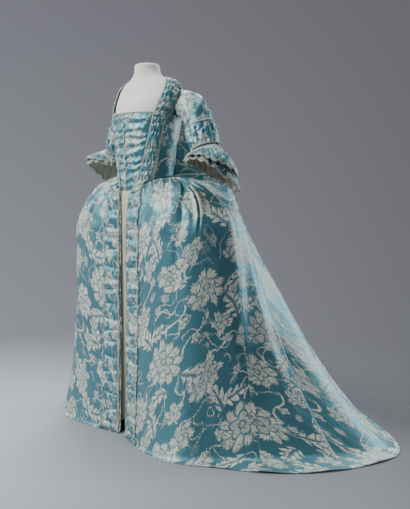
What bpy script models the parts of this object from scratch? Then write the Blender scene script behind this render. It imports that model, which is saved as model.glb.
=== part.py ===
"""Robe a la francaise, standing on a limbless dress form.

Metres, +Z up.  The wearer faces -Y and her left is +X.  The origin is the foot of the
form's stand, on the floor.  Every cloth piece is a wall of one thickness: a grid of
points worked out from the named sizes below, closed with Solidify.

Rows of a grid run down the garment and columns run round it, counter-clockwise seen
from above, so that every grid faces out.
"""

import math
from collections import namedtuple

import bmesh
import bpy
import numpy as np

# Driving sizes -----------------------------------------------------------------------
CLOTH = 0.0016  # wall of the silk
TRIM = 0.0014  # wall of the gathered strips
SEAM = 0.0003  # each piece stops this far from a seam line
LIFT = 0.0014  # air between a panel and the strip that lies on it
NECKLINE_Z = 1.253  # straight front neckline
UNDERARM_Z = 1.241  # top of the bodice under the arm, inside the sleeve
HIP_Z = 0.80  # height where the hoops are widest
PETTICOAT_HEM_Z = 0.045
NECK_SEAM_Z = 1.302  # sack back is sewn to the neck here

# Outer face of the bodice: half ellipses in front of the side and behind it.
Torso = namedtuple("Torso", "z half_width front back")
TORSO = [
    Torso(0.930, 0.136, 0.107, 0.096),
    Torso(1.008, 0.125, 0.102, 0.088),
    Torso(1.100, 0.137, 0.107, 0.098),
    Torso(1.200, 0.155, 0.113, 0.112),
    Torso(1.255, 0.164, 0.112, 0.118),
    Torso(1.300, 0.171, 0.094, 0.116),
    Torso(1.335, 0.168, 0.073, 0.105),
    Torso(1.352, 0.160, 0.066, 0.097),
    Torso(1.375, 0.134, 0.059, 0.083),
    Torso(1.392, 0.100, 0.055, 0.072),
]

# The form itself, to the top of its neck.
FORM = [
    Torso(0.860, 0.110, 0.082, 0.075),
    Torso(0.935, 0.1215, 0.0925, 0.0860),
    Torso(0.963, 0.1235, 0.0965, 0.0872),
    Torso(1.015, 0.117, 0.094, 0.081),
    Torso(1.100, 0.130, 0.100, 0.091),
    Torso(1.200, 0.148, 0.106, 0.105),
    Torso(1.255, 0.157, 0.105, 0.111),
    Torso(1.300, 0.164, 0.087, 0.109),
    Torso(1.335, 0.161, 0.066, 0.098),
    Torso(1.355, 0.150, 0.058, 0.089),
    Torso(1.372, 0.126, 0.052, 0.076),
    Torso(1.386, 0.095, 0.049, 0.064),
    Torso(1.402, 0.067, 0.047, 0.053),
    Torso(1.418, 0.054, 0.048, 0.050),
    Torso(1.442, 0.0495, 0.0475, 0.0485),
]

# Height of the waist seam at an angle from centre front.
WaistLine = namedtuple("WaistLine", "degrees z")
WAIST_LINE = [
    WaistLine(0.0, 0.958),
    WaistLine(20.0, 0.964),
    WaistLine(40.0, 0.984),
    WaistLine(60.0, 0.998),
    WaistLine(90.0, 1.008),
    WaistLine(180.0, 1.008),
]

# Two edges of the gathered strip that borders the bodice, from the waist to the back.
Strip = namedtuple("Strip", "inner_degrees inner_z outer_degrees outer_z")
ROBING = [
    Strip(180.0, 1.345, 180.0, 1.304),
    Strip(160.0, 1.350, 158.0, 1.306),
    Strip(138.0, 1.362, 136.0, 1.330),
    Strip(114.0, 1.378, 113.0, 1.356),
    Strip(90.0, 1.384, 100.5, 1.358),
    Strip(67.0, 1.352, 97.5, 1.340),
    Strip(57.5, 1.302, 94.5, 1.298),
    Strip(54.5, 1.262, 88.0, 1.262),
    Strip(52.0, 1.225, 75.0, 1.222),
    Strip(48.0, 1.170, 70.0, 1.170),
    Strip(40.0, 1.080, 66.0, 1.082),
    Strip(30.0, 1.010, 61.0, 1.020),
    Strip(18.0, 0.966, 58.0, 1.000),
]
NECK_TRIM_END = 2.0  # row of ROBING where the neck trim meets the shoulders
TRIM_GAP = 0.006  # share of a row that keeps the strips' ends apart
STRAP_UNDER_DEGREES = 1.5  # the strap runs on this far under the sleeve's head
STRAP_INSET_DEGREES = 1.5  # its inner edge lies this far inside the strip's
STRAP_INSET_Z = 0.001
STRAP_HEAD_ROWS = (4.2, 5.2)  # rows of ROBING over which it comes in to the strip's edge

# Stations round the robe's skirt: from the left front edge round the back to the right
# front edge.  The waist is an angle on the bodice; the hip lies at HIP_Z and the hem on
# the floor.  run is the stretch that lies on the floor, kick the share of the spread
# that comes in the last stretch above it.
Station = namedtuple("Station", "waist_degrees hip_x hip_y hem_x hem_y run kick")
SKIRT = [
    Station(17.0, 0.009, -0.113, 0.008, -0.135, 0.015, 0.60),
    Station(42.0, 0.112, -0.124, 0.160, -0.186, 0.015, 0.60),
    Station(62.0, 0.240, -0.128, 0.290, -0.208, 0.015, 0.60),
    Station(76.0, 0.355, -0.088, 0.425, -0.192, 0.020, 0.55),
    Station(88.0, 0.414, -0.008, 0.565, -0.108, 0.060, 0.45),
    Station(100.0, 0.424, 0.076, 0.704, -0.020, 0.110, 0.35),
    Station(114.0, 0.388, 0.155, 0.812, 0.112, 0.140, 0.25),
    Station(136.0, 0.322, 0.218, 0.872, 0.290, 0.120, 0.20),
    Station(150.0, 0.255, 0.300, 0.862, 0.490, 0.060, 0.20),
    Station(165.0, 0.145, 0.378, 0.695, 0.660, 0.050, 0.20),
    Station(180.0, 0.000, 0.420, 0.375, 0.845, 0.050, 0.20),
    Station(195.0, -0.140, 0.385, 0.090, 1.000, 0.080, 0.25),
    Station(210.0, -0.250, 0.320, -0.170, 1.055, 0.120, 0.30),
    Station(224.0, -0.335, 0.225, -0.380, 0.930, 0.150, 0.35),
    Station(246.0, -0.405, 0.158, -0.530, 0.680, 0.120, 0.50),
    Station(260.0, -0.450, 0.080, -0.600, 0.330, 0.060, 0.80),
    Station(272.0, -0.450, -0.005, -0.580, 0.060, 0.030, 0.85),
    Station(284.0, -0.395, -0.082, -0.485, -0.122, 0.015, 0.80),
    Station(298.0, -0.255, -0.126, -0.300, -0.160, 0.015, 0.70),
    Station(318.0, -0.135, -0.124, -0.145, -0.156, 0.015, 0.60),
    Station(343.0, -0.027, -0.112, -0.018, -0.138, 0.015, 0.60),
]
SIDE_SEAM = 5.2  # station of the seam between the front and side widths
SACK_SEAM = 7.0  # station of the seam between the side width and the sack back
LAST = float(len(SKIRT) - 1)

# The sack back at the waist: how far its pleats stand off, at the stations between its
# two seams, and where each is gathered at the neck.
SackWaist = namedtuple("SackWaist", "station x y z neck_x")
SACK_WAIST = [
    SackWaist(8.0, 0.160, 0.270, 0.985, 0.098),
    SackWaist(9.0, 0.093, 0.310, 0.980, 0.055),
    SackWaist(10.0, 0.000, 0.322, 0.980, 0.000),
    SackWaist(11.0, -0.093, 0.310, 0.980, -0.055),
    SackWaist(12.0, -0.160, 0.270, 0.985, -0.098),
]
SACK_NECK_EDGE = 0.100  # half the width of the pleats' seam at the neck

# Folds of the skirt: soft troughs (below 0) and ridges, each along one station.
Fold = namedtuple("Fold", "station width depth start end")
FOLDS = [
    Fold(1.35, 0.20, -0.013, 0.02, 0.34),
    Fold(2.10, 0.40, 0.008, 0.04, 0.66),
    Fold(2.85, 0.20, -0.016, 0.02, 0.40),
    Fold(3.45, 0.34, 0.009, 0.03, 0.46),
    Fold(4.00, 0.18, -0.014, 0.02, 0.36),
    Fold(4.90, 0.50, 0.006, 0.10, 0.80),
    Fold(5.60, 0.45, -0.006, 0.04, 0.90),
    Fold(6.40, 0.45, 0.007, 0.12, 0.98),
    Fold(8.45, 0.24, -0.012, 0.10, 0.98),
    Fold(9.50, 0.26, -0.012, 0.05, 0.95),
    Fold(10.50, 0.26, -0.012, 0.05, 0.95),
    Fold(11.55, 0.24, -0.011, 0.10, 0.98),
    Fold(13.60, 0.45, 0.007, 0.12, 0.95),
    Fold(14.40, 0.45, -0.006, 0.04, 0.85),
    Fold(15.10, 0.50, 0.006, 0.10, 0.80),
    Fold(16.00, 0.18, -0.014, 0.02, 0.36),
    Fold(16.55, 0.34, 0.009, 0.03, 0.44),
    Fold(17.15, 0.20, -0.016, 0.02, 0.40),
    Fold(17.90, 0.40, 0.008, 0.04, 0.62),
    Fold(18.65, 0.20, -0.013, 0.02, 0.34),
]
HEM_LIE = 0.0014  # the hem's outer face stands this far off the floor
FLOOR_ROWS = 0.86  # drop, from hip to hem, where the skirt reaches the floor
FLOOR_START = 0.02  # share of the hip height left there
TRAIN_WAVE = 0.005  # height of the waves that lie in the train's edge
TRAIN_WAVE_TURN = 5.3  # radians of those waves from one station to the next
STATION_STEP = 0.02  # spacing at which slopes across the skirt are measured
WIDEST_COLUMN = 0.55  # stations between two columns of a skirt's grid, at most

# The petticoat, left half: it falls inside the robe's skirt.  waist_rise is the height
# of its top above the waist seam: it shows at the centre front alone.
Petticoat = namedtuple("Petticoat", "waist_degrees waist_rise hip_x hip_y hem_x hem_y")
PETTICOAT = [
    Petticoat(0.0, 0.008, 0.000, -0.103, 0.000, -0.095),
    Petticoat(24.0, -0.012, 0.100, -0.108, 0.110, -0.108),
    Petticoat(54.0, -0.040, 0.230, -0.102, 0.240, -0.108),
    Petticoat(78.0, -0.050, 0.345, -0.062, 0.362, -0.078),
    Petticoat(92.0, -0.050, 0.395, 0.020, 0.415, 0.030),
    Petticoat(112.0, -0.045, 0.355, 0.120, 0.395, 0.195),
    Petticoat(145.0, -0.045, 0.220, 0.205, 0.265, 0.350),
    Petticoat(180.0, -0.045, 0.000, 0.240, 0.000, 0.420),
]
PETTICOAT_DEPTH = 0.0034  # it starts this far inside the bodice
PETTICOAT_DROP = 0.010  # its hoop line lies this far below the robe's
PETTICOAT_COLUMNS = 28

# Left sleeve below the armhole: centre, radii and the lean of its axis below level.
Sleeve = namedtuple("Sleeve", "x y z radius_up radius_side lean")
SLEEVE = [
    Sleeve(0.190, 0.052, 1.283, 0.052, 0.052, 38.0),
    Sleeve(0.224, 0.056, 1.252, 0.054, 0.053, 56.0),
    Sleeve(0.249, 0.058, 1.207, 0.052, 0.051, 66.0),
    Sleeve(0.270, 0.057, 1.156, 0.049, 0.049, 67.0),
    Sleeve(0.291, 0.056, 1.106, 0.048, 0.048, 67.0),
]
ARMHOLE_DEGREES = 119.0
ARMHOLE_Z = 1.288
ARMHOLE_HALF_DEGREES = 17.5
ARMHOLE_HALF_HEIGHT = 0.054
ARMHOLE_CLEAR = 0.0019

UNDERARM_FROM = 96.0  # the bodice's top edge falls to the underarm between these angles
UNDERARM_TO = 106.0
BACK_RISE_FROM = 131.0  # and rises to the back seam between these
BACK_RISE_TO = 139.0
BACK_SEAM_DEGREES = 140.0  # seam between the side and the back of the bodice
BACK_SEAM_RISE = 0.060  # height gained from the underarm to that seam
SIDE_GAP = 0.3  # each of the two keeps this angle from it
SACK_STAND = 0.003  # the sack's pleats stand this far off the bodice at the neck
SACK_PLEAT = 0.007
SACK_PLEAT_LINES = (9.5, 10.0, 10.5)  # stations of the pleats' inner edges
SACK_BOW = 0.010  # how far the hanging pleats bow out behind the back
SACK_SEAM_GAPS = 1.6  # the sack's edges keep this many seam gaps from the side widths

COMPERE_FOLDS = 9
COMPERE_FOLD_DEPTH = 0.0070
ROBING_PUFFS = 16
ROBING_PUFF = 0.0070
NECK_PUFFS = 10
BAND_PUFFS = 20
BAND_PUFF = 0.0100
BAND_INNER = 0.04  # stations between which the strip lies on the skirt's front width
BAND_OUTER = 1.02
BAND_START = 0.06  # it runs from just under the waist to just over the hem
BAND_END = 1.950
SLEEVE_EASE = 0.004  # the sleeve is this much wider at its head
SLEEVE_BAND_PUFFS = 12
SLEEVE_PUFF = 0.0045
SLEEVE_GATHER = 0.0025
FLOUNCE_WAVES = 8
FLOUNCE_WAVE = 0.0105
FLOUNCE_START = 3.93  # place along the sleeve where the ruffles are sewn on
FLOUNCE_OUT = 0.0023  # the lower ruffle is sewn this far outside the sleeve
UPPER_OUT = 0.0057
UPPER_SHARE = 0.67  # length of the upper ruffle as a share of the lower one's
FLOUNCE_LEAN = 0.06

# Length of the lower ruffle and how far its hem stands off the arm, by heading: 0 is
# her left and 90 behind her.
Ruffle = namedtuple("Ruffle", "heading length flare")
RUFFLE = [
    Ruffle(-180.0, 0.038, 0.010),
    Ruffle(-130.0, 0.038, 0.018),
    Ruffle(-90.0, 0.038, 0.040),
    Ruffle(-60.0, 0.042, 0.066),
    Ruffle(-30.0, 0.080, 0.074),
    Ruffle(0.0, 0.128, 0.066),
    Ruffle(35.0, 0.172, 0.056),
    Ruffle(70.0, 0.152, 0.050),
    Ruffle(120.0, 0.088, 0.034),
    Ruffle(180.0, 0.038, 0.010),
]
RUFFLE_LONGEST = 0.172

BUTTONS = 9
BUTTON_RADIUS = 0.0055
BUTTON_HEIGHT = 0.0045
BUTTON_TOP_Z = 1.235
BUTTON_SPACING = 0.030
BUTTON_SEAT = 0.0009  # they stand this far off the curve of the false fronts

POLE_RADIUS = 0.016
BASE_RADIUS = 0.112
STAND_Y = 0.030  # the pole stands this far behind the origin
BASE_HEIGHT = 0.018
CAP_DOME = 0.009
FIT = 0.0003  # air between solids that touch

COLLECTION = "robe_a_la_francaise"


# Curves and grids --------------------------------------------------------------------
def smooth(knots, values, at):
    """Cubic through each row of values at its knot, read at every entry of `at`."""
    knots = np.asarray(knots, dtype=float)
    values = np.asarray(values, dtype=float)
    at = np.clip(np.asarray(at, dtype=float), knots[0], knots[-1])
    slopes = np.gradient(values, knots, axis=0)
    span = np.clip(np.searchsorted(knots, at, side="right") - 1, 0, len(knots) - 2)
    step = (knots[span + 1] - knots[span])[..., None]
    f = (at - knots[span])[..., None] / step
    rise = 3.0 * f**2 - 2.0 * f**3
    start = values[span] * (1.0 - rise) + values[span + 1] * rise
    lean_in = slopes[span] * (f - 2.0 * f**2 + f**3)
    lean_out = slopes[span + 1] * (f**3 - f**2)
    return start + step * (lean_in + lean_out)


def columns(rows, *names):
    """The named columns of a table, as an array with one row for each of its rows."""
    return np.array([[getattr(row, name) for name in names] for row in rows])


def on_body(table, degrees, z):
    """Point of a body given by half ellipses, at an angle from centre front."""
    degrees, z = np.broadcast_arrays(np.asarray(degrees, float), np.asarray(z, float))
    sizes = smooth(columns(table, "z")[:, 0], columns(table, "half_width", "front", "back"), z)
    angle = np.radians(degrees)
    depth = np.where(np.cos(angle) > 0.0, sizes[..., 1], sizes[..., 2])
    return np.stack([sizes[..., 0] * np.sin(angle), -depth * np.cos(angle), z], axis=-1)


def waist_line(degrees):
    """Height of the waist seam, the same on both sides."""
    folded = np.abs((np.asarray(degrees, float) + 180.0) % 360.0 - 180.0)
    table = columns(WAIST_LINE, "degrees", "z")
    return smooth(table[:, 0], table[:, 1:], folded)[..., 0]


def facing(points, ring=False):
    """Outward unit normal of a grid at each of its points."""
    across = np.gradient(points, axis=1)
    if ring:
        across = np.roll(points, -1, axis=1) - np.roll(points, 1, axis=1)
    down = np.gradient(points, axis=0)
    normal = np.cross(down, across)
    length = np.linalg.norm(normal, axis=-1, keepdims=True)
    return normal / np.maximum(length, 1e-12)


def raised(points, height, ring=False):
    """The grid moved out along its normals by a height, one for all or one a point."""
    height = np.broadcast_to(np.asarray(height, float), points.shape[:2])
    return points + facing(points, ring) * height[..., None]


def mirrored(points):
    """The same grid on the wearer's other side, its columns turned back to face out."""
    return (points * np.array([-1.0, 1.0, 1.0]))[:, ::-1]


def ease(value, start, end):
    """Smooth step from 0 at start to 1 at end."""
    f = np.clip((np.asarray(value, float) - start) / (end - start), 0.0, 1.0)
    return f * f * (3.0 - 2.0 * f)


# Objects -----------------------------------------------------------------------------
def clear_scene():
    """Remove every object that the scene starts with."""
    for item in list(bpy.data.objects):
        bpy.data.objects.remove(item, do_unlink=True)


def material(name, colour, roughness, metallic=0.0):
    """A Principled material of one colour."""
    made = bpy.data.materials.new(name)
    made.use_nodes = True
    shader = made.node_tree.nodes["Principled BSDF"]
    shader.inputs["Base Color"].default_value = (*colour, 1.0)
    shader.inputs["Roughness"].default_value = roughness
    shader.inputs["Metallic"].default_value = metallic
    return made


def place(mesh, name, finish, collection):
    """A named, smooth shaded object for a mesh, in the part's collection."""
    made = bpy.data.objects.new(name, mesh)
    mesh.materials.append(finish)
    mesh.shade_smooth()
    mesh.set_sharp_from_angle(angle=math.radians(35.0))
    collection.objects.link(made)
    return made


def grid_mesh(name, points, ring=False):
    """Open mesh of a grid of points, closed round its columns if it is a ring."""
    rows, cols = points.shape[:2]
    mesh = bpy.data.meshes.new(name)
    last = cols if ring else cols - 1
    faces = []
    for row in range(rows - 1):
        for col in range(last):
            a = row * cols + col
            b = row * cols + (col + 1) % cols
            faces.append((a, a + cols, b + cols, b))
    mesh.from_pydata(points.reshape(-1, 3).tolist(), [], faces)
    mesh.update()
    return mesh


def cloth(name, points, finish, collection, ring=False, wall=CLOTH):
    """A cloth piece: the grid is its outer face and Solidify gives the wall inside it."""
    made = place(grid_mesh(name, points, ring), name, finish, collection)
    solid = made.modifiers.new("Wall", "SOLIDIFY")
    solid.thickness = wall
    solid.offset = -1.0
    solid.use_even_offset = False
    solid.use_rim = True
    return made


# The form ----------------------------------------------------------------------------
def build_form(finish, metal, collection):
    """Padded body with its neck, the cap on it, the pole and the round base."""
    heights = np.concatenate([[row.z for row in FORM], [1.155, 1.05, 0.905]])
    heights = np.sort(heights)[::-1]
    around = np.arange(0.0, 360.0, 15.0)
    body = on_body(FORM, around[None, :], heights[:, None])
    mesh = grid_mesh("dress_form", body, ring=True)
    shell = bmesh.new()
    shell.from_mesh(mesh)
    rims = [edge for edge in shell.edges if edge.is_boundary]
    bmesh.ops.holes_fill(shell, edges=rims, sides=0)
    bmesh.ops.recalc_face_normals(shell, faces=shell.faces)
    shell.to_mesh(mesh)
    shell.free()
    place(mesh, "dress_form", finish, collection)

    dome = [(0.0, CAP_DOME), (0.020, CAP_DOME * 0.88), (0.036, CAP_DOME * 0.55)]
    rim = [(0.0460, 0.002), (0.0474, 0.0), (0.0, 0.0)]
    turned("form_cap", dome + rim, 0.0, FORM[-1].z + FIT, finish, collection)
    top = FORM[0].z - FIT
    foot = BASE_HEIGHT + FIT
    pole = [(0.0, top), (POLE_RADIUS, top), (POLE_RADIUS, foot), (0.0, foot)]
    turned("form_pole", pole, STAND_Y, 0.0, metal, collection)
    edge = 0.006
    plate = [(0.0, BASE_HEIGHT), (BASE_RADIUS - edge, BASE_HEIGHT)]
    side = [(BASE_RADIUS, BASE_HEIGHT - edge), (BASE_RADIUS, 0.0), (0.0, 0.0)]
    turned("form_base", plate + side, STAND_Y, 0.0, metal, collection)


def turned(name, profile, y, z, finish, collection):
    """A solid of revolution about an upright axis; the profile runs down its outer side."""
    mesh = bpy.data.meshes.new(name)
    edges = [(i, i + 1) for i in range(len(profile) - 1)]
    mesh.from_pydata([(r, 0.0, h) for r, h in profile], edges, [])
    made = place(mesh, name, finish, collection)
    made.location = (0.0, y, z)
    screw = made.modifiers.new("Turn", "SCREW")
    screw.steps = 24
    screw.render_steps = 24
    screw.use_merge_vertices = True
    screw.merge_threshold = 0.0001
    return made


# The bodice --------------------------------------------------------------------------
def robing_edges(place_along):
    """Angles and heights of the strip's inner and outer edges at places along it."""
    table = columns(ROBING, "inner_degrees", "inner_z", "outer_degrees", "outer_z")
    return smooth(np.arange(len(ROBING)), table, place_along)


def robing_middle(z):
    """Angle of the middle of the strip, at a height on the front of the bodice."""
    rows = ROBING[4:][::-1]
    heights = columns(rows, "inner_z")[:, 0]
    middle = columns(rows, "inner_degrees", "outer_degrees").mean(axis=1)
    return smooth(heights, middle[:, None], z)[..., 0]


def robing_inner(z):
    """Angle of the strip's inner edge, at a height on the front of the bodice."""
    rows = ROBING[4:][::-1]
    table = columns(rows, "inner_z", "inner_degrees")
    return smooth(table[:, 0], table[:, 1:], z)[..., 0]


def compere():
    """Left false front: a panel of crosswise folds that sag to the centre front."""
    per_fold = 3
    down = np.linspace(0.0, 1.0, COMPERE_FOLDS * per_fold + 1)[:, None]
    height = NECKLINE_Z + (waist_line(30.0) - NECKLINE_Z) * down
    first = 0.25
    visible = robing_inner(height) - 1.8
    share = np.array([0.0, 0.20, 0.52, 0.86, 1.0])[None, :]
    degrees = first + (visible - first) * share
    degrees = np.concatenate([degrees, robing_middle(height) - 0.3], axis=1)
    bottom = waist_line(degrees) + SEAM
    z = NECKLINE_Z + (bottom - NECKLINE_Z) * down
    base = on_body(TORSO, degrees, z)
    across = np.array([0.0, 0.20, 0.52, 0.86, 1.0, 1.0])[None, :]
    swell = np.array([0.0, 0.45, 1.0, 0.8, 0.0, 0.0])[None, :]
    phase = down * COMPERE_FOLDS - 0.35 * across * (1.0 - down)
    fold = (0.5 - 0.5 * np.cos(2.0 * math.pi * phase)) ** 0.8
    ends = ease(down, 0.0, 0.03) * (1.0 - ease(down, 0.92, 1.0))
    return raised(base, COMPERE_FOLD_DEPTH * fold * swell * ends)


def bodice_side():
    """Left robe bodice, from under its border strip to the side back seam."""
    down = np.linspace(0.0, 1.0, 7)[:, None]
    across = np.array([0.0, 0.12, 0.26, 0.40, 0.55, 0.70, 0.82, 0.91, 1.0])[None, :]
    inner = robing_middle(NECKLINE_Z + (1.0 - NECKLINE_Z) * down) + 0.3
    degrees = inner + (BACK_SEAM_DEGREES - SIDE_GAP - inner) * across
    top = NECKLINE_Z - SEAM - (NECKLINE_Z - UNDERARM_Z) * ease(degrees, UNDERARM_FROM, UNDERARM_TO)
    top = top + BACK_SEAM_RISE * ease(degrees, BACK_RISE_FROM, BACK_RISE_TO)
    bottom = waist_line(degrees) + SEAM
    return on_body(TORSO, degrees, top + (bottom - top) * down)


def bodice_back():
    """Plain fitted back, under the sack."""
    first = BACK_SEAM_DEGREES + SIDE_GAP
    degrees = np.linspace(first, 360.0 - first, 7)[None, :]
    down = np.linspace(0.0, 1.0, 6)[:, None]
    top = UNDERARM_Z + BACK_SEAM_RISE - SEAM
    z = top + (waist_line(degrees) + SEAM - top) * down
    return on_body(TORSO, degrees, z)


def strap():
    """Robe front over the left shoulder, from the armhole's foot to the back neck.

    Its outer edge follows the border strip, and beside the armhole it runs on to just
    under the sleeve.
    """
    place_along = np.linspace(2.05, 7.2, 13)[:, None]
    across = np.linspace(0.0, 1.0, 7)[None, :]
    edges = robing_edges(place_along)
    level = (edges[..., 3] - ARMHOLE_Z) / ARMHOLE_HALF_HEIGHT
    reach = np.sqrt(np.clip(1.0 - level**2, 0.0, 1.0))
    hidden = ARMHOLE_DEGREES - ARMHOLE_HALF_DEGREES * reach + STRAP_UNDER_DEGREES
    beside = np.maximum(hidden - edges[..., 2], 0.0) * ease(place_along, *STRAP_HEAD_ROWS)
    inner = edges[..., 0] + STRAP_INSET_DEGREES
    degrees = inner + (edges[..., 2] + beside - inner) * across
    z = edges[..., 1] - STRAP_INSET_Z + (edges[..., 3] - edges[..., 1]) * across
    z = np.maximum(z, NECKLINE_Z + SEAM)
    return on_body(TORSO, degrees, z)


def strip_on_body(start, end, puffs, height):
    """Gathered strip on the bodice between two places along its border."""
    place_along = np.linspace(start, end, puffs * 3 + 1)[:, None]
    across = np.array([0.0, 0.22, 0.50, 0.78, 1.0])[None, :]
    edges = robing_edges(place_along)
    degrees = edges[..., 0] + (edges[..., 2] - edges[..., 0]) * across
    z = edges[..., 1] + (edges[..., 3] - edges[..., 1]) * across
    base = on_body(TORSO, degrees, z)
    along = np.linspace(0.0, 1.0, puffs * 3 + 1)[:, None] * puffs
    puff = np.abs(np.sin(math.pi * (along - 0.15 * np.sin(2.2 * along) * (across - 0.5))))
    relief = height * puff * np.array([0.0, 1.0, 1.0, 1.0, 0.0])[None, :]
    return raised(base, LIFT + TRIM + relief)


# The sleeves -------------------------------------------------------------------------
def sleeve_ring(row, turn, out=0.0):
    """Ring of the left sleeve for one row of its table, first point at the top."""
    lean = math.radians(row[5])
    up = np.array([math.sin(lean), 0.0, math.cos(lean)])
    side = np.array([0.0, 1.0, 0.0])
    angle = np.radians(turn)
    rise = (row[3] + out) * np.cos(angle)
    back = (row[4] + out) * np.sin(angle)
    return np.array(row[:3]) + rise[:, None] * up + back[:, None] * side


def sleeve_rows(at):
    """Rows of the sleeve's table at places along it, in between as well."""
    names = Sleeve._fields
    return smooth(np.arange(len(SLEEVE)), columns(SLEEVE, *names), np.asarray(at, float))


def sleeve():
    """Left sleeve, from the armhole on the body to the elbow."""
    turn = -np.arange(0.0, 360.0, 22.5)
    head = []
    for share in (0.0, 0.35):
        degrees = ARMHOLE_DEGREES + ARMHOLE_HALF_DEGREES * np.sin(np.radians(turn))
        z = ARMHOLE_Z + ARMHOLE_HALF_HEIGHT * np.cos(np.radians(turn))
        base = on_body(TORSO, degrees, z)
        away = base * np.array([1.0, 1.0, 0.0])
        away = away / np.linalg.norm(away, axis=1, keepdims=True)
        ring = base + away * ARMHOLE_CLEAR
        first = sleeve_ring(sleeve_rows([0.0])[0], turn, SLEEVE_EASE)
        head.append(ring + (first - ring) * share)
    rings = []
    for index in range(len(SLEEVE)):
        ease_in = SLEEVE_EASE * (1.0 - index / 4.0)
        rings.append(sleeve_ring(sleeve_rows([index])[0], turn, ease_in))
    return np.array(head + rings)


def sleeve_band():
    """Gathered band round the left sleeve, just above the elbow."""
    count = SLEEVE_BAND_PUFFS * 2
    turn = -np.arange(count) * 360.0 / count
    gather = SLEEVE_GATHER * (np.arange(count) % 2)
    rings = []
    for at, swell in ((2.10, 0.0), (2.50, 1.0), (3.42, 1.0), (3.84, 0.0)):
        ease_in = SLEEVE_EASE * (1.0 - at / 4.0)
        out = ease_in + LIFT + TRIM + (SLEEVE_PUFF + gather) * swell
        rings.append(sleeve_ring(sleeve_rows([at])[0], turn, out))
    return np.array(rings)


def flounce(part_length, out):
    """Left sleeve ruffle: hangs from a ring round the sleeve, long at the outer back.

    part_length is its share of the lower ruffle's length, out its distance from the
    sleeve.  Both swing in the same waves, and the shorter one flares sooner, so they
    stay apart.
    """
    count = FLOUNCE_WAVES * 4
    turn = -np.arange(count) * 360.0 / count
    ring = sleeve_rows([FLOUNCE_START])[0]
    top = sleeve_ring(ring, turn, out)
    away = (top - np.array(ring[:3])) * np.array([1.0, 1.0, 0.0])
    away = away / np.linalg.norm(away, axis=1, keepdims=True)
    heading = np.degrees(np.arctan2(away[:, 1], away[:, 0]))
    table = columns(RUFFLE, "heading", "length", "flare")
    sizes = smooth(table[:, 0], table[:, 1:], heading)
    length = sizes[:, 0] * part_length
    lean = np.array([FLOUNCE_LEAN, FLOUNCE_LEAN, 0.0])
    rings = []
    for v in (0.0, 0.30, 0.66, 1.0):
        drop = length * v
        wave = FLOUNCE_WAVE * (drop / RUFFLE_LONGEST) ** 0.8
        wave = wave * np.sin(FLOUNCE_WAVES * np.radians(turn))
        flare = sizes[:, 1] * (1.0 - (1.0 - v) ** 1.7)
        point = top + away * (flare + wave)[:, None]
        point = point + lean * (drop * sizes[:, 0] / RUFFLE_LONGEST)[:, None]
        point[:, 2] = top[:, 2] - drop
        rings.append(point)
    return np.array(rings)


# The skirts --------------------------------------------------------------------------
def skirt_folds(station, drop):
    """Height of the folds at a station and a drop from 0, the waist, to 1, the hem."""
    total = np.zeros(np.broadcast_shapes(np.shape(station), np.shape(drop)))
    for fold in FOLDS:
        across = np.exp(-(((station - fold.station) / fold.width) ** 2) * 2.0)
        along = ease(drop, fold.start - 0.02, fold.start + 0.10)
        along = along * (1.0 - ease(drop, fold.end - 0.22, fold.end + 0.02))
        total = total + fold.depth * across * along
    return total


def fall(waist, hip, hem, run, kick, down, lie, free):
    """Points from the waist over the hoop and down to the floor.

    down is 0 at the waist, 1 at the hip and 2 at the hem.  lie is the height of the
    hem's outer face above the floor.  free is 0 where the skirt lies on the hoop and 1
    where it hangs straight from the shoulders.
    """
    level = np.clip(down, 0.0, 1.0)
    over = level * math.pi / 2.0
    out = np.sin(over) + (level - np.sin(over)) * free
    high = np.cos(over) ** 1.25
    high = high + (1.0 - level - high) * free
    upper = waist[..., :2] + (hip - waist[..., :2]) * out[..., None]
    upper_z = HIP_Z + (waist[..., 2] - HIP_Z) * high

    below = np.clip(down - 1.0, 0.0, 1.0)
    spread = np.linalg.norm(hem - hip, axis=-1)
    stay = 1.0 - np.minimum(run / np.maximum(spread, 1e-6), 0.8)
    fallen = np.clip(below / FLOOR_ROWS, 0.0, 1.0) * (1.0 - FLOOR_START)
    reach = (1.0 - kick) * fallen + kick * fallen**4.5
    full = (1.0 - kick) * (1.0 - FLOOR_START) + kick * (1.0 - FLOOR_START) ** 4.5
    floor = np.clip((below - FLOOR_ROWS) / (1.0 - FLOOR_ROWS), 0.0, 1.0)
    share = stay * reach / full + (1.0 - stay) * floor
    lower = hip + (hem - hip) * share[..., None]
    lower_z = np.where(
        below < FLOOR_ROWS,
        HIP_Z * (1.0 - fallen),
        lie + (HIP_Z * FLOOR_START - lie) * (1.0 - floor) ** 2,
    )
    above = (down <= 1.0)[..., None]
    plan = np.where(above, upper, lower)
    z = np.where(down <= 1.0, upper_z, lower_z)
    return np.concatenate([plan, z[..., None]], axis=-1)


def sack_table():
    """Stations of the sack with its waist points, from seam to seam."""
    table = columns(SACK_WAIST, "station", "x", "y", "z")
    rows = [table]
    for station in (SACK_SEAM, LAST - SACK_SEAM):
        degrees = SKIRT[int(station)].waist_degrees
        seam = on_body(TORSO, degrees, waist_line(degrees) - SEAM)
        rows.append(np.array([[station, *seam]]))
    table = np.concatenate(rows)
    return table[np.argsort(table[:, 0])]


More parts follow.
